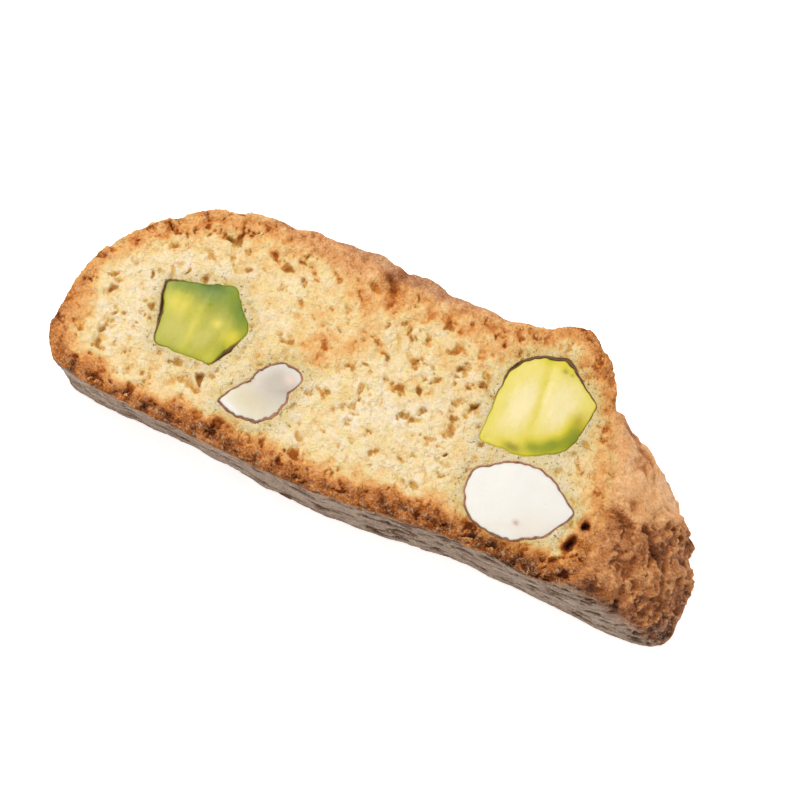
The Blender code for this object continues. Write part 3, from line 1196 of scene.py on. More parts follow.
NUTS = (
    Nut(
        name="almond_large",
        kernel=Kernel.ALMOND,
        middle=(53.8, 8.0),
        sides=edges(
            (180.0, 6.7),
            (-143.0, 6.15),
            (-97.0, 4.8),
            (-60.0, 4.5),
            (-27.0, 5.35),
            (57.0, 5.3),
            (92.0, 5.05),
            (125.0, 5.35),
        ),
        depth=19.0,
        lean=(0.22, 0.06),
        skin=0.24,
        tints=(Tint(57.0, 6.4, 3.5, 2.5, 0.15), Tint(52.0, 4.6, 4.0, 1.0, 0.12)),
        specks=(Tint(54.6, 5.85, 0.38, 0.32, 0.6),),
        blush=(Tint(56.8, 6.0, 2.4, 2.0, 0.2),),
        bands=(Notch(-90.0, 0.08, 70.0),),
    ),
    Nut(
        name="almond_small",
        kernel=Kernel.ALMOND,
        middle=(20.8, 7.7),
        sides=edges(
            (-88.0, 4.15),
            (-50.0, 3.6),
            (-14.0, 3.2),
            (50.0, 5.15),
            (92.0, 4.35),
            (128.0, 3.05),
            (151.0, 2.4),
            (-111.0, 4.8),
        ),
        dents=(Notch(22.0, 0.15, 14.0), Notch(163.0, 0.14, 16.0)),
        depth=7.0,
        lean=(-0.15, 0.1),
        skin=0.26,
        # The second tint is a painted highlight: less cream, so paler, along the lower left edge.
        tints=(Tint(20.0, 6.2, 3.6, 2.2, 1.0), Tint(18.2, 4.2, 1.3, 0.5, -0.8, -20.0)),
        extra=(Tint(22.2, 9.5, 2.6, 2.4, 0.95), Tint(20.0, 7.4, 4.0, 3.0, 0.4)),
        blush=(Tint(23.2, 10.3, 0.7, 0.6, 0.8),),
        bands=(Notch(-80.0, 0.14, 60.0),),
    ),
    Nut(
        name="pistachio_left",
        kernel=Kernel.GREEN_PISTACHIO,
        middle=(10.9, 13.0),
        sides=edges((-87.0, 5.2), (-26.0, 4.75), (41.0, 4.6), (110.0, 4.3), (-166.0, 5.6)),
        dents=(Notch(-170.0, 0.05, 16.0), Notch(108.0, 0.03, 10.0)),
        sharpness=20.0,
        depth=17.0,
        lean=(0.2, -0.05),
        skin=0.06,
        tints=(
            Tint(10.0, 17.1, 2.1, 1.1, 0.45, 5.0),
            Tint(6.6, 15.5, 1.9, 0.8, 0.16, 15.0),
            Tint(10.6, 15.6, 3.4, 1.3, 0.16),
            Tint(14.4, 15.3, 1.1, 2.3, 0.24, 35.0),
            Tint(7.3, 13.2, 1.8, 1.6, -0.2),
            Tint(10.0, 10.8, 0.5, 2.6, -0.16),
            Tint(12.4, 12.9, 0.6, 0.6, -0.24),
            Tint(14.9, 12.0, 1.3, 1.1, -0.2),
            Tint(13.6, 8.6, 1.8, 0.9, -0.08),
        ),
        extra=(
            Tint(8.2, 10.5, 1.5, 1.9, 0.7),
            Tint(11.8, 10.4, 1.3, 1.8, 0.65),
            Tint(11.6, 13.2, 2.2, 1.1, 0.3),
        ),
        thin=(Tint(11.0, 18.0, 6.5, 3.2, 1.0), Tint(10.6, 7.2, 3.4, 2.0, 1.0), Tint(16.6, 14.8, 1.6, 3.0, 0.9)),
        bands=(Notch(-150.0, 0.16, 22.0), Notch(-25.0, 0.12, 18.0)),
        gaps=(Notch(-172.0, 0.42, 20.0), Notch(-36.0, 0.4, 20.0), Notch(158.0, 0.25, 12.0)),
    ),
    Nut(
        name="pistachio_right",
        kernel=Kernel.YELLOW_PISTACHIO,
        middle=(51.4, 19.8),
        sides=edges(
            (-178.0, 5.4),
            (-88.0, 6.5),
            (-56.0, 5.85),
            (-8.0, 5.8),
            (54.0, 6.0),
            (108.0, 6.35),
            (150.0, 5.85),
        ),
        depth=9.5,
        lean=(0.1, -0.12),
        skin=0.1,
        tints=(
            Tint(54.6, 16.2, 2.0, 1.1, 0.48, 40.0),
            Tint(56.4, 18.4, 1.2, 2.0, 0.46, 15.0),
            Tint(52.4, 15.0, 1.3, 0.9, 0.3),
            Tint(50.3, 14.0, 1.3, 0.6, 0.34),
            Tint(46.7, 16.4, 1.0, 3.3, 0.04),
            Tint(49.3, 19.2, 1.7, 3.8, -0.2, -10.0),
            Tint(53.7, 20.6, 2.2, 3.4, -0.2),
            Tint(50.8, 21.2, 0.5, 5.0, 0.1, 10.0),
            Tint(48.0, 14.2, 1.6, 0.9, 0.06),
            Tint(51.4, 25.6, 4.5, 0.8, 0.12),
        ),
        specks=(
            Tint(50.3, 14.0, 1.0, 0.5, 0.5),
            Tint(56.2, 20.3, 0.8, 0.9, 0.4),
            Tint(52.3, 25.0, 0.35, 0.3, 0.6),
            Tint(53.2, 24.9, 0.25, 0.2, 0.5),
            Tint(56.9, 18.0, 0.5, 1.4, 0.35),
        ),
        thin=(Tint(51.0, 13.6, 6.5, 3.0, 1.0), Tint(45.9, 16.0, 1.6, 2.6, 1.0), Tint(57.6, 17.4, 1.6, 2.4, 0.7)),
        bands=(Notch(95.0, 0.3, 45.0),),
        gaps=(Notch(146.0, 0.3, 16.0), Notch(84.0, 0.2, 14.0)),
        groove=(50.6, 26.0, 52.0, 14.5),
    ),
)


# ---------------------------------------------------------------------------------------------
# The crumb
# ---------------------------------------------------------------------------------------------


@dataclass(frozen=True)
class Pit:
    """One of the larger holes in the shown face: its middle, its radii, its turn and its depth."""

    x: float
    y: float
    radius_x: float
    radius_y: float
    turn: float
    depth: float

    def on(self, x: np.ndarray, y: np.ndarray) -> np.ndarray:
        """The depth times 1 - (distance in radii)^2 inside, 0 outside."""
        c, s = math.cos(math.radians(self.turn)), math.sin(math.radians(self.turn))
        along, across = (x - self.x) * c + (y - self.y) * s, (y - self.y) * c - (x - self.x) * s
        far = np.hypot(along / self.radius_x, across / self.radius_y)
        return self.depth * np.clip(1.0 - far**2, 0.0, 1.0)


@dataclass
class CrumbFace:
    """One cut face of the dough: a relief on a patch that fills the rim, closed by a flat bottom
    half way down the slice.

    Attributes:
        side: which cut face.
        outline: the slice's outline.
        nuts: the nuts that it has sockets for.
        lattice: the noise.
        open_texture: patches where the crumb is more open.
        toast_and_pit_shade: patches browner or paler than the rim makes them, two of them painted shade in two pits.
        pits: the larger holes.
        crown_edge: where the crust begins along the crown, as (x, y) places.
        margin: how far in from the outline its side lies.
        border: the points of the rim once the face is built.
    """

    side: Side
    outline: Outline
    nuts: tuple[Nut, ...]
    lattice: Lattice
    open_texture: tuple[Tint, ...] = (
        Tint(1.0, 9.0, 6.0, 9.0, 0.3),
        Tint(36.0, 17.0, 9.0, 7.0, 0.5),
        Tint(45.5, 21.0, 3.0, 6.0, 0.5),
        Tint(58.0, 3.0, 7.0, 3.0, 0.8),
        Tint(22.0, 1.5, 20.0, 2.0, 0.4),
        Tint(10.0, 24.0, 12.0, 3.0, 0.4),
    )
    toast_and_pit_shade: tuple[Tint, ...] = (
        Tint(24.9, 15.4, 4.2, 2.6, 0.24, 25.0),
        Tint(26.0, 19.4, 5.0, 3.0, 0.1),
        Tint(28.0, 22.8, 3.0, 1.6, 0.14, 10.0),
        Tint(38.0, 22.5, 9.0, 3.5, 0.1),
        Tint(44.0, 24.5, 4.0, 3.0, 0.12),
        Tint(59.6, 19.0, 1.6, 6.0, 0.14),
        Tint(61.0, 12.5, 1.4, 3.0, 0.2),
        Tint(11.4, 0.6, 2.2, 1.0, 0.12),
        Tint(17.5, 1.2, 2.6, 1.0, 0.12),
        Tint(41.5, 2.8, 4.5, 1.1, 0.1, 8.0),
        Tint(28.4, 25.8, 1.7, 2.4, 0.1),
        Tint(30.2, 24.8, 0.9, 2.6, 0.12),
        # Painted shade: these two darken the two pits at x = 61-62 mm to near black.
        Tint(61.3, 6.3, 0.55, 1.1, 0.6, -20.0),
        Tint(62.1, 8.9, 0.4, 0.7, 0.6, -15.0),
        Tint(57.5, 2.4, 3.5, 1.6, 0.12),
        Tint(35.5, 10.6, 6.0, 3.0, -0.1, 15.0),
        Tint(3.2, 12.5, 3.0, 5.0, -0.08),
        Tint(57.5, 13.6, 3.0, 1.6, -0.06),
    )
    pits: tuple[Pit, ...] = (
        Pit(13.4, 5.9, 0.42, 0.85, 20.0, 1.2),
        Pit(0.4, 6.6, 0.6, 0.45, 10.0, 0.8),
        Pit(4.2, 11.5, 0.32, 0.45, 40.0, 0.7),
        Pit(1.7, 9.3, 0.3, 0.3, 0.0, 0.6),
        Pit(2.7, 15.3, 0.35, 0.45, 0.0, 0.6),
        Pit(9.3, 6.4, 0.5, 0.4, 30.0, 0.6),
        Pit(43.6, 10.0, 0.45, 0.35, 20.0, 0.8),
        Pit(61.4, 6.3, 0.65, 1.3, -20.0, 1.6),
        Pit(62.2, 8.9, 0.5, 0.8, -15.0, 1.3),
        Pit(60.6, 3.6, 0.8, 0.5, 30.0, 1.0),
        Pit(50.4, 2.2, 0.9, 0.5, 10.0, 0.9),
        Pit(44.3, 16.6, 0.3, 1.2, -20.0, 0.8),
        Pit(37.6, 15.6, 0.7, 0.45, 60.0, 0.9),
        Pit(40.9, 20.2, 0.4, 0.7, -30.0, 0.7),
        Pit(30.3, 15.9, 0.5, 0.35, 0.0, 0.6),
        Pit(17.3, 1.4, 0.5, 0.4, 0.0, 0.7),
        Pit(25.9, 1.1, 0.5, 0.35, 0.0, 0.7),
        Pit(9.4, 23.0, 0.9, 0.5, 20.0, 0.7),
        Pit(17.2, 22.6, 0.9, 0.6, 10.0, 0.7),
        Pit(13.0, 20.6, 0.6, 0.25, 10.0, 0.5),
    )
    crown_edge: tuple[tuple[float, float], ...] = (
        (9.0, 27.4),
        (11.7, 26.6),
        (19.0, 25.6),
        (22.9, 24.7),
        (26.1, 25.0),
        (31.3, 26.2),
        (39.3, 26.2),
        (44.0, 27.4),
    )
    margin: float = 1.4
    fill_rounds: int = 120
    back_rounds: int = 10
    border: np.ndarray | None = None

    @property
    def shown(self) -> bool:
        """Whether this is the cut face that shows."""
        return self.side is Side.SHOWN

    @property
    def plane(self) -> float:
        """The height of the cut plane."""
        return THICKNESS if self.shown else 0.0

    def fill(self, loop: np.ndarray) -> np.ndarray:
        """Spreads the values of a rim over the grid inside it: a Coons patch between four runs of
        the rim, sum of the two ruled surfaces less the bilinear one, then relaxed.

        Args:
            loop: one row of values, such as a place, for each point of the rim.

        Returns:
            The values, rows by columns.
        """
        columns, rows = self.outline.columns, self.outline.rows
        low = loop[:columns]
        right = loop[columns - 1 : columns + rows - 1]
        high = loop[columns + rows - 2 : 2 * columns + rows - 2][::-1]
        left = np.vstack([loop[2 * columns + rows - 3 :], loop[:1]])[::-1]
        u = np.linspace(0.0, 1.0, columns)[None, :, None]
        v = np.linspace(0.0, 1.0, rows)[:, None, None]
        ruled = (1.0 - v) * low[None] + v * high[None] + (1.0 - u) * left[:, None] + u * right[:, None]
        flat = (
            (1.0 - v) * ((1.0 - u) * low[0] + u * low[-1])
            + v * ((1.0 - u) * high[0] + u * high[-1])
        )
        return self.relax(ruled - flat, self.fill_rounds)

    def relax(self, grid: np.ndarray, rounds: int) -> np.ndarray:
        """The grid after each inner point has moved to the mean of its four neighbours, in rounds."""
        for _ in range(rounds):
            middle = grid[:-2, 1:-1] + grid[2:, 1:-1] + grid[1:-1, :-2] + grid[1:-1, 2:]
            grid[1:-1, 1:-1] = 0.25 * middle
        return grid

    def patch(self) -> np.ndarray:
        """The grid of places that fills the rim.

        The back face's grid is the shown one's after the outline's change towards the back, plus
        what is left to its own rim, spread over it; so it doesn't spill into the notch of the toe.

        Returns:
            Points (x, y), rows by columns.
        """
        line = self.outline
        face = line.face(line.loop_shares())
        front = line.ring(face, 0.0, 1.0)[:, :2]
        grid = self.fill(front)
        if self.shown:
            return grid
        rest = line.ring(face, 1.0, 1.0)[:, :2] - line.back(front)
        return self.relax(line.back(grid) + self.fill(rest), self.back_rounds)

    def rim_values(self, x: np.ndarray, y: np.ndarray) -> tuple[np.ndarray, np.ndarray, np.ndarray]:
        """How far places lie in from the outline, and the band and browning of the rim there."""
        share = np.arange(700) / 700.0
        rim = self.outline.ring(self.outline.face(share), 0.0 if self.shown else 1.0, 0.0)[:, :2]
        flat = stack(x, y).reshape(-1, 2)
        nearest, distance = [], []
        for block in np.array_split(flat, 24):
            gap = np.hypot(block[:, None, 0] - rim[None, :, 0], block[:, None, 1] - rim[None, :, 1])
            nearest.append(gap.argmin(axis=1))
            distance.append(gap.min(axis=1))
        at = share[np.concatenate(nearest)].reshape(x.shape)
        band, browning = (self.outline.at_stations(at, k) for k in ("band", "browning"))
        return np.concatenate(distance).reshape(x.shape), band, browning

    def dress(self, place: np.ndarray) -> tuple[np.ndarray, dict[str, np.ndarray]]:
        """The relief and the painted values of the dough near the cut.

        The height is a sum of rounded grains at two sizes, folds (the size of a noise, which has
        sharp valleys) and slow unevenness, less voids where a noise is low, the round pores, the
        named pits, the fissure and the room round the nuts. How brown it is falls from the rim's
        browning to the inside over the band's width, plus the listed patches and noise; two of
        these patches are painted shade in two pits, and how deep a point lies in the relief is
        kept as painted shade too.

        Args:
            place: points (x, y, height above the cut plane).

        Returns:
            Heights out of the surface, and the painted values.
        """
        noise = self.lattice
        x, y = place[..., 0], place[..., 1]
        rim, band, browning = self.rim_values(x, y)
        patchy = ramp01(0.5 + 0.6 * noise.layered(place, 4.0, 2, salt=2))
        wobble = 1.0 + 0.5 * noise.layered(place, 3.4, 2, salt=6)
        fade = 1.0 - ramp01((rim - 0.22 * band) / (band * np.maximum(wobble, 0.4)))
        opened = 0.2 + 0.35 * patchy + 0.3 * fade
        if self.shown:
            opened = opened + sum(t.on(x, y) for t in self.open_texture)
        opened = np.clip(opened, 0.0, 1.0)
        crusty = self.crown_crust(x, y)
        loose = noise.warped(place, 1.3, 0.45)
        torn = noise.warped(loose, 0.6, 0.22)
        clumps = noise.layered(loose, 1.4, 4, 0.66, salt=1)
        lumps = noise.grains(loose, 0.62, 2) - 0.62
        fine = (0.17 + 0.17 * opened) * clumps + (0.06 + 0.05 * opened) * lumps
        valley = ramp01((0.2 * opened - 0.34 - clumps) / 0.55)
        parting = ramp01(0.5 + noise.layered(place, 3.0, 2, salt=14) / 0.4 + opened - 0.5)
        pores = (0.1 + 0.34 * opened) * valley * parting
        few = 0.03 + 0.12 * opened
        pores = np.maximum(pores, 0.32 * noise.pores(torn, 0.7, few, (0.12, 0.28), 2))
        if self.shown:
            for pit in self.pits:
                pores = np.maximum(pores, pit.on(torn[..., 0], torn[..., 1]))
        calm = 1.0 - 0.6 * crusty
        relief = calm * fine - calm * pores
        fissure = self.fissure(x, y) if self.shown else np.zeros_like(x)
        relief = relief - fissure
        lip = ramp01((x - 58.0) / 3.0) * bell((rim - 0.8) / 0.6)
        height = 0.14 * noise.layered(place, 6.0, 2, salt=1) + 0.14 * lip + relief
        height, damp = self.seat_nuts(x, y, height)
        golden = ramp01(0.45 + 0.9 * noise.layered(place, 3.4, 3, 0.6, salt=21))
        inside = 0.11 + 0.15 * golden
        bake = inside + (browning - inside) * fade - 0.08 * damp * (1.0 - fade)
        if self.shown:
            bake = bake + sum(t.on(x, y) for t in self.toast_and_pit_shade) + 0.12 * ramp01(1.6 * fissure)
        bake = bake + (0.1 + 0.06 * fade) * noise.layered(place, 1.6, 3, 0.6, salt=8)
        bake = bake - 0.12 * crusty * (1.0 - ramp01(fissure))
        # Painted shade: how deep a point lies in the relief, 0 on the tips to 1 in the deepest pores; it darkens the
        # colour.
        hollow = np.clip((0.15 - np.minimum(relief, height + 0.05)) / 0.75, 0.0, 1.0)
        if not self.shown:
            height = np.minimum(height - 0.05, 0.0)
        blank = np.zeros_like(x)
        return height, {
            "bake": np.clip(bake, 0.0, 1.0),
            "hollow": hollow,
            "damp": damp,
            "crust": crusty,
            "sole": blank,
            "flour": 0.3 * crusty,
        }

    def crown_crust(self, x: np.ndarray, y: np.ndarray) -> np.ndarray:
        """1 where the crown's crust wraps over the rim, above the line through crown_edge."""
        if not self.shown:
            return np.zeros_like(x)
        edge_x, edge_y = zip(*self.crown_edge)
        wander = 0.5 * self.lattice.layered(stack(x, y, 9.0), 1.6, 2, salt=17)
        span = ramp01((x - edge_x[0]) / 3.0) * ramp01((edge_x[-1] - x) / 3.0)
        return span * ramp01(0.3 + (y - np.interp(x, edge_x, edge_y) + wander) / 1.8)

    def seat_nuts(self, x: np.ndarray, y: np.ndarray, height: np.ndarray) -> tuple[np.ndarray, np.ndarray]:
        """Seats the nuts: the dough is level at their skins, sunk under them and in the gaps.

        Args:
            x, y: places on the face.
            height: the relief so far.

        Returns:
            The new heights, and how damp the nuts' oil makes the crumb, from 0 to 1.
        """
        damp = np.zeros_like(x)
        down = 0.0 if self.shown else THICKNESS
        for nut in self.nuts:
            if not self.shown and not nut.through:
                continue
            outside, angle = nut.beyond(x, y, down)
            level = ramp01(1.0 - outside / 0.6)
            height = height * (1.0 - 0.8 * level) + 0.02 * level
            height = height - 0.7 * ramp01(-(outside + 0.04) / 0.25)
            room = sum(gap.at(angle) for gap in nut.gaps) if nut.gaps else 0.0
            height = height - 1.5 * ramp01((room - 0.03 - outside) / 0.3) * ramp01(room / 0.08)
            damp = np.maximum(damp, bell(np.maximum(outside, 0.0) / 1.6))
        return height, damp

    def fissure(self, x: np.ndarray, y: np.ndarray) -> np.ndarray:
        """The bake crack's run into the face: a groove whose middle bends with y and whose width
        and depth shrink from the crown down."""
        run = ramp01((y - 22.6) / 4.5)
        line = 30.2 - 1.3 * run + 0.35 * np.sin(1.3 * y)
        return 0.6 * run * bell((x - line) / (0.4 + 0.4 * run))

    def build(self) -> Skein:
        """The closed piece: the relief grid, a side that falls from its edge, and a flat bottom."""
        grid = self.patch()
        rows, columns = grid.shape[:2]
        height, paint = self.dress(stack(grid[..., 0], grid[..., 1], 0.0 if self.shown else 40.0))
        points = stack(grid[..., 0], grid[..., 1], self.plane + self.side.value * height)
        points = points.reshape(-1, 3)
        number = np.arange(rows * columns).reshape(rows, columns)
        loop = np.concatenate([number[0, :-1], number[:-1, -1], number[-1, :0:-1], number[:0:-1, 0]])
        self.border = points[loop]
        face = self.outline.face(self.outline.loop_shares())
        shares = (0.12, 0.3, 0.5) if self.shown else (0.88, 0.7, 0.5)
        levels = [self.outline.ring(face, depth, 0.0, self.margin) for depth in shares]
        count, first = len(loop), len(points)
        chain = [loop] + [first + k * count + np.arange(count) for k in range(len(levels))]
        quads = [grid_quads(rows, columns)[:, ::-1]]
        for upper, lower in zip(chain, chain[1:]):
            after, below = np.roll(upper, -1), np.roll(lower, -1)
            quads.append(np.stack([upper, lower, below, after], axis=1))
        faces = quads + [chain[-1][::-1][None, :]]
        if not self.shown:
            faces = [block[:, ::-1] for block in faces]
        for name in paint:
            values = paint[name].reshape(-1)
            paint[name] = np.concatenate([values] + [values[loop]] * len(levels))
        name = "crumb_face" if self.shown else "crumb_back"
        return Skein(name, np.concatenate([points] + levels), faces, paint)


# ---------------------------------------------------------------------------------------------
# The crust
# ---------------------------------------------------------------------------------------------


@dataclass
class Crust:
    """The browned outside of the slice, a closed shell that starts at the rims of the crumb.

    Attributes:
        outline: the slice's outline.
        faces: the two cut faces, already built.
        lattice: the noise.
        thickness: how thick the shell is.
        sole_pits: holes in the sole, as (along the slice, height).
        toe_pits: holes and creases in the toe, as (x, y).
    """

    outline: Outline
    faces: tuple[CrumbFace, CrumbFace]
    lattice: Lattice
    rim_rows: int = 13
    wall_rows: int = 50
    back_rows: int = 8
    thickness: float = 1.8
    inner_depths: tuple[float, ...] = (0.93, 0.7, 0.4, 0.1)
    sole_pits: tuple[Pit, ...] = (
        Pit(26.4, 9.5, 0.8, 0.5, 0.0, 1.0),
        Pit(29.8, 8.4, 2.4, 0.45, -12.0, 0.7),
        Pit(22.4, 10.6, 1.6, 0.35, -8.0, 0.4),
        Pit(42.4, 10.0, 1.7, 0.5, -12.0, 0.8),
        Pit(45.4, 9.0, 1.3, 0.4, -20.0, 0.6),
        Pit(53.0, 9.8, 1.2, 0.4, 0.0, 0.5),
        Pit(6.5, 9.5, 1.5, 0.4, 10.0, 0.5),
        Pit(32.3, 4.0, 1.0, 1.2, 0.0, 0.6),
    )
    toe_pits: tuple[Pit, ...] = (
        Pit(65.0, 11.9, 0.6, 0.6, 0.0, 0.3),
        Pit(67.2, 11.4, 1.2, 0.7, 10.0, 0.35),
        Pit(69.1, 12.3, 0.9, 0.6, 30.0, 0.8),
        Pit(70.6, 10.5, 2.0, 0.5, -50.0, 1.0),
        Pit(67.6, 8.2, 1.3, 0.4, 50.0, 0.6),
        Pit(65.4, 20.2, 1.8, 0.5, -35.0, 0.6),
        Pit(63.2, 21.8, 0.8, 0.4, -30.0, 0.5),
        Pit(73.0, 6.2, 1.4, 0.4, 30.0, 0.7),
    )

    def rows(self) -> list[tuple[float, float, float]]:
        """The rings from the front rim to the back rim, then the inner wall back up.

        Returns:
            (depth share, rim pull, inset) for each ring.
        """
        line = self.outline
        rim = 0.5 * np.pi * np.arange(self.rim_rows) / self.rim_rows
        back = 0.5 * np.pi * np.arange(1, self.back_rows + 1) / self.back_rows
        front_rows = [(line.rim_depth * (1.0 - math.cos(a)), 1.0 - math.sin(a), 0.0) for a in rim]
        wall = np.linspace(line.rim_depth, 1.0 - line.back_rim_depth, self.wall_rows)
        back_rows = [(1.0 - line.back_rim_depth * (1.0 - math.sin(b)), 1.0 - math.cos(b), 0.0) for b in back]
        inner = [(d, 0.0, self.thickness) for d in self.inner_depths]
        return [*front_rows, *((d, 0.0, 0.0) for d in wall), *back_rows, *inner]

    def build(self) -> Skein:
        """The shell: rings of the outline, pushed along the surface's normals by the relief. The
        first and last outer rings are the borders of the two cut faces."""
        face = self.outline.face(self.outline.loop_shares())
        rows = self.rows()
        grid = np.stack([self.outline.ring(face, *row) for row in rows])
        outer = len(rows) - len(self.inner_depths)
        shell = grid[:outer]
        normal = surface_normals(shell, wrap_columns=True)
        run = np.linalg.norm(np.diff(shell, axis=0), axis=-1)
        down = np.concatenate([np.zeros((1, len(face))), np.cumsum(run, axis=0)])
        height, paint = self.dress(shell, normal, face, down)
        shares = 1.0 - ramp01((down - 0.12) / 1.3), 1.0 - ramp01((down[-1] - down - 0.1) / 0.7)
        for cut, share in zip(self.faces, shares):
            near = share > 0.0
            offset = np.array([0.0, 0.0, cut.plane if cut.shown else -40.0])
            relief, tone = cut.dress(shell[near] - offset)
            height[near] += share[near] * (relief - height[near])
            for name, values in paint.items():
                values[near] += share[near] * (tone[name] - values[near])
        shell += normal * height[..., None]
        shell[0], shell[-1] = (cut.border for cut in self.faces)
        shell[..., 2] = np.maximum(shell[..., 2], 0.0)
        for name, values in paint.items():
            paint[name] = np.concatenate([values, np.zeros((len(self.inner_depths), len(face)))]).ravel()
        quads = grid_quads(len(rows), len(face), wrap_rows=True, wrap_columns=True)
        return Skein("crust", grid.reshape(-1, 3), [quads], paint)

    def dress(
        self, place: np.ndarray, normal: np.ndarray, face: np.ndarray, down: np.ndarray
    ) -> tuple[np.ndarray, dict[str, np.ndarray]]:
        """The relief and the painted values of the crust away from the cuts.

        Args:
            place, normal: the points of the outer wall and their normals.
            face: the outline of the shown face.
            down: how far along the surface each point lies from the front rim.

        Returns:
            Heights along the normals, and the painted values.
        """
        noise = self.lattice
        x, y, z = (place[..., k] for k in range(3))
        flat = unit(normal[..., :2])
        fx, fy = np.broadcast_arrays(face[:, 0], x)[0], np.broadcast_arrays(face[:, 1], x)[0]
        sole = ramp01((-flat[..., 1] - 0.55) / 0.3) * ramp01((2.6 - fy) / 1.6)
        toe = ramp01((fx - 57.0) / 4.0) * (1.0 - sole) * ramp01((27.0 - fy) / 3.0)
        crown = ramp01((flat[..., 1] - 0.3) / 0.4) * (1.0 - toe)
        loose = noise.warped(place, 2.4, 0.7)
        border = 12.3 + 0.9 * np.maximum(0.0, x - 67.5) + 0.9 * noise.layered(place, 2.2, 2, salt=15)
        change = ramp01(0.5 + (border - y) / 2.2)
        below, pale = toe * change, toe * (1.0 - change)
        low = toe * ramp01((4.6 - y + 0.8 * noise.smooth(place, 1.5, 16)) / 2.4)
        tip = toe * ramp01((x - 72.6 - 0.25 * y + noise.smooth(place, 2.0, 18)) / 2.0)
        lumps = noise.grains(loose, 3.2, 1) - 0.6
        small = noise.grains(loose, 1.3, 2) - 0.6
        folds = np.abs(noise.layered(loose, 1.3, 2, 0.6, salt=4)) - 0.18
        terrace = ramp01(noise.layered(loose, 3.4, 2, 0.5, salt=19) / 0.16) - 0.5
        height = 0.1 * noise.layered(place, 5.0, 2, salt=1) + 0.06 * noise.layered(place, 1.0, 3, salt=2)
        ridge = ramp01(1.0 - np.abs(noise.layered(loose, 2.2, 3, 0.6, salt=24)) / 0.24)
        ridge = toe * (0.35 + 0.65 * below) * ridge
        height += (0.1 + 0.28 * below + 0.14 * pale + 0.06 * crown) * lumps + 0.26 * ridge
        height += (0.06 + 0.16 * below) * small + (0.1 + 0.26 * below + 0.2 * tip) * folds
        height += toe * (0.14 + 0.12 * below) * terrace
        height += 0.24 * toe * bell((y - border - 0.4) / 0.6)
        height += 0.4 * toe * noise.layered(place, 2.8, 2, salt=23)
        height += 0.16 * toe * bell((down - 1.8) / 0.9)
        holes = below * 0.5 * noise.pores(loose, 2.1, 0.36, (0.16, 0.36), 3)
        holes = np.maximum(holes, (0.2 + 0.15 * below) * noise.pores(loose, 1.1, 0.2, (0.15, 0.34), 4))
        flaky = 0.6 * toe * bell((border - 0.8 - y) / 0.8)
        holes = np.maximum(holes, flaky * noise.pores(loose, 1.8, 0.8, (0.22, 0.42), 5))
        for pit in self.toe_pits:
            holes = np.maximum(holes, 0.8 * toe * pit.on(loose[..., 0], loose[..., 1]))
        streaked = stack(x / 3.2, y, z)
        streaks = noise.layered(streaked, 0.9, 3, 0.6, salt=5)
        height = height * (1.0 - 0.6 * sole) + 0.16 * sole * streaks
        holes = holes * (1.0 - 0.4 * sole)
        holes = np.maximum(holes, 0.35 * sole * ramp01((-streaks - 0.25) / 0.15))
        for pit in self.sole_pits:
            holes = np.maximum(holes, sole * pit.on(x + 0.4 * streaks, z))
        line = self.outline.crack_at + 0.5 * np.sin(0.8 * z) + 0.25 * noise.smooth(place, 1.4, 9)
        holes = np.maximum(holes, 0.2 * crown * bell((x - line) / 0.8))
        height = height * (0.3 + 0.7 * ramp01(z / 0.8))
        # Painted shade: how deep a point lies in the relief and its holes; it darkens the colour.
        hollow = np.clip((0.15 + holes - np.minimum(height, 0.1)) / 0.8, 0.0, 1.0)
        bake = 0.56 + 0.14 * noise.layered(place, 3.0, 3, salt=7)
        # The ridge term is a painted highlight: the toe's ridges are painted paler.
        bake += -0.25 * pale + 0.04 * below + 0.2 * low + 0.04 * tip - 0.16 * ridge
        # Painted shade: the toe's holes are painted browner.
        bake += 0.06 * toe * ramp01(holes / 0.6)
        bake += -0.22 * toe * ramp01((11.0 - y) / 2.0) * bell((down - 0.5) / 0.6)
        shoulder = crown * ramp01((z - 11.0) / 1.0) * bell((x - 32.0) / 14.0)
        bake += -0.1 * shoulder + 0.06 * crown * (1.0 - shoulder)
        bake += 0.12 * ramp01((4.0 - fx) / 8.0) + 0.06 * crown * bell((x - line) / 1.0)
        flour = 0.08 + 0.35 * sole + 0.12 * below + 0.16 * low + 0.3 * tip + 0.25 * shoulder + 0.15 * crown
        return height - holes * (0.3 + 0.7 * ramp01(z / 0.8)), {
            "bake": np.clip(bake, 0.0, 1.0),
            "hollow": hollow,
            "damp": np.zeros_like(x),
            "crust": np.ones_like(x),
            "sole": np.clip(sole * ramp01((down - 0.4) / 0.5) + 0.4 * tip + 0.3 * crown, 0.0, 1.0),
            "flour": np.clip(flour, 0.0, 1.0),
        }


# ---------------------------------------------------------------------------------------------
# The studio
# ---------------------------------------------------------------------------------------------


@dataclass(frozen=True)
class Lamp:
    """A soft square lamp: its place and side in metres, its power in watts and its colour."""

    name: str
    place: tuple[float, float, float]
    side: float
    power: float
    colour: tuple[float, float, float] = (1.0, 1.0, 1.0)

    def hang(self, target: Vector) -> None:
        """Adds the lamp, pointing at the target."""
        light = bpy.data.lights.new(self.name, "AREA")
        light.shape, light.size, light.energy, light.color = "SQUARE", self.side, self.power, self.colour
        lamp = bpy.data.objects.new(self.name, light)
        lamp.location = self.place
        lamp.rotation_euler = (target - Vector(self.place)).to_track_quat("-Z", "Y").to_euler()
        bpy.context.scene.collection.objects.link(lamp)


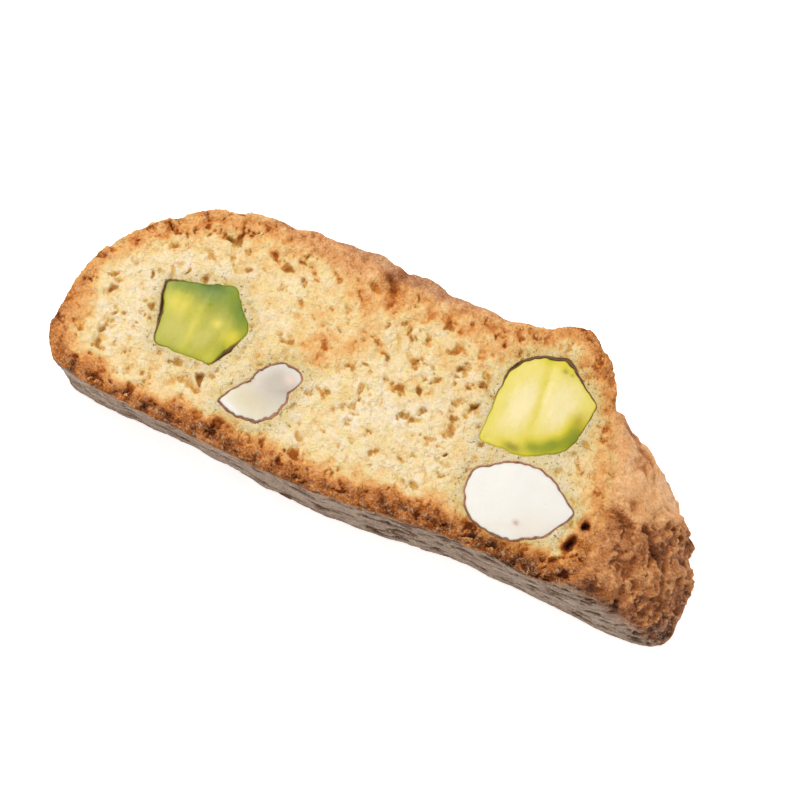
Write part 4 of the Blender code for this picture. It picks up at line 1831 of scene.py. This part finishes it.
@dataclass(frozen=True)
class Studio:
    """A pale floor, soft light and the camera."""

    azimuth: float = 25.0
    elevation: float = 75.5
    lens: float = 300.0
    width: float = 0.0952
    aim: tuple[float, float] = (0.0, 0.0)
    floor_colour: Colour = screen(246, 246, 245)
    floor_glow: float = 0.7
    ambient: float = 0.42
    lamps: tuple[Lamp, ...] = (
        Lamp("key", (-0.18, 0.12, 0.5), 0.22, 2.78, (1.0, 0.985, 0.96)),
        Lamp("fill", (0.4, -0.35, 0.45), 0.5, 0.7, (0.97, 0.985, 1.0)),
    )

    def build(self) -> None:
        """Sets the floor, the lamps, the surroundings and the camera."""
        scene = bpy.context.scene
        lo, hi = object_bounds()
        middle = (lo + hi) * 0.5
        self.lay_floor()
        for lamp in self.lamps:
            lamp.hang(middle)
        world = bpy.data.worlds.new("studio")
        world.use_nodes = True
        world.node_tree.nodes["Background"].inputs["Color"].default_value = (1.0, 1.0, 1.0, 1.0)
        world.node_tree.nodes["Background"].inputs["Strength"].default_value = self.ambient
        scene.world = world
        scene.view_settings.view_transform = "Standard"
        scene.view_settings.look = "None"
        self.set_camera(middle)

    def lay_floor(self) -> None:
        """A wide pale sheet just under the slice."""
        size = 2.0
        mesh = bpy.data.meshes.new("floor")
        corners = [(-size, -size, -2e-5), (size, -size, -2e-5), (size, size, -2e-5), (-size, size, -2e-5)]
        mesh.from_pydata(corners, [], [(0, 1, 2, 3)])
        floor = bpy.data.objects.new("floor", mesh)
        g = Graph("floor")
        glow = {"Emission Color": self.floor_colour, "Emission Strength": self.floor_glow}
        floor.data.materials.append(g.finish({}, {"Base Color": self.floor_colour, "Roughness": 0.9, **glow}))
        bpy.context.scene.collection.objects.link(floor)
        floor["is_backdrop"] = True

    def set_camera(self, middle: Vector) -> None:
        """The camera, a long lens that looks down on the slice at the set azimuth and elevation."""
        a, e = math.radians(self.azimuth), math.radians(self.elevation)
        back = Vector((math.sin(a) * math.cos(e), -math.cos(a) * math.cos(e), math.sin(e)))
        data = bpy.data.cameras.new("camera")
        data.lens, data.sensor_width = self.lens, 36.0
        camera = bpy.data.objects.new("camera", data)
        turn = (-back).to_track_quat("-Z", "Y")
        across, up = turn @ Vector((1.0, 0.0, 0.0)), turn @ Vector((0.0, 1.0, 0.0))
        target = middle + across * self.aim[0] + up * self.aim[1]
        distance = self.width / 36.0 * self.lens
        camera.location = target + back * distance
        camera.rotation_mode = "QUATERNION"
        camera.rotation_quaternion = turn
        data.clip_start, data.clip_end = 0.01, 10.0
        bpy.context.scene.collection.objects.link(camera)
        bpy.context.scene.camera = camera


# ---------------------------------------------------------------------------------------------
# Assembly
# ---------------------------------------------------------------------------------------------


@dataclass
class Slice:
    """The whole slice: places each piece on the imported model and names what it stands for."""

    outline: Outline = field(default_factory=Outline)

    def place(self) -> Vector:
        """The move from the slice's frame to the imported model's, from the two dough boxes."""
        face = self.outline.face(np.arange(600) / 600.0)
        rings = np.concatenate([self.outline.ring(face, d, 0.0) for d in np.linspace(0.07, 0.96, 20)])
        lo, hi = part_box("dough")
        middle = (lo + hi) / 2.0 / MM
        own = (rings.min(axis=0) + rings.max(axis=0)) / 2.0
        return Vector((middle.x - own[0], middle.y - own[1], 0.0))

    def add(self, skein: Skein, material: bpy.types.Material, node: str, slot: str) -> None:
        """Adds one piece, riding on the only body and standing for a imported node."""
        piece = skein.to_object(self.place(), material)
        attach(piece, "root")
        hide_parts(node)
        faces = sum(len(block) * (block.shape[1] - 2) for block in skein.faces)
        LOG.info("%s: %d points, %d triangles, for %s", skein.name, len(skein.points), faces, node)

    def build(self) -> None:
        """Builds the crumb, the crust and the nuts in order."""
        dough = DoughFinish().material("dough")
        front = CrumbFace(Side.SHOWN, self.outline, NUTS, Lattice(11))
        back = CrumbFace(Side.UNDER, self.outline, NUTS, Lattice(12))
        crust = Crust(self.outline, (front, back), Lattice(21))
        for part in (front, back, crust):
            self.add(part.build(), dough, "dough", "dough")
        almond = AlmondFinish().material("almond")
        pistachio = PistachioFinish().material("pistachio")
        skin = SkinFinish().material("skin")
        for index, nut in enumerate(NUTS):
            maker = NutMaker(nut, Lattice(31 + index))
            flesh = almond if nut.kernel is Kernel.ALMOND else pistachio
            self.add(maker.flesh(), flesh, nut.name, nut.kernel.value)
            self.add(maker.husk(), skin, nut.name, nut.kernel.value)


def main() -> None:
    """Builds the slice and the studio."""
    logging.basicConfig(level=logging.INFO, format="%(name)s: %(message)s")
    Slice().build()
    Studio().build()
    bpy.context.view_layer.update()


if __name__ == "__main__":
    main()
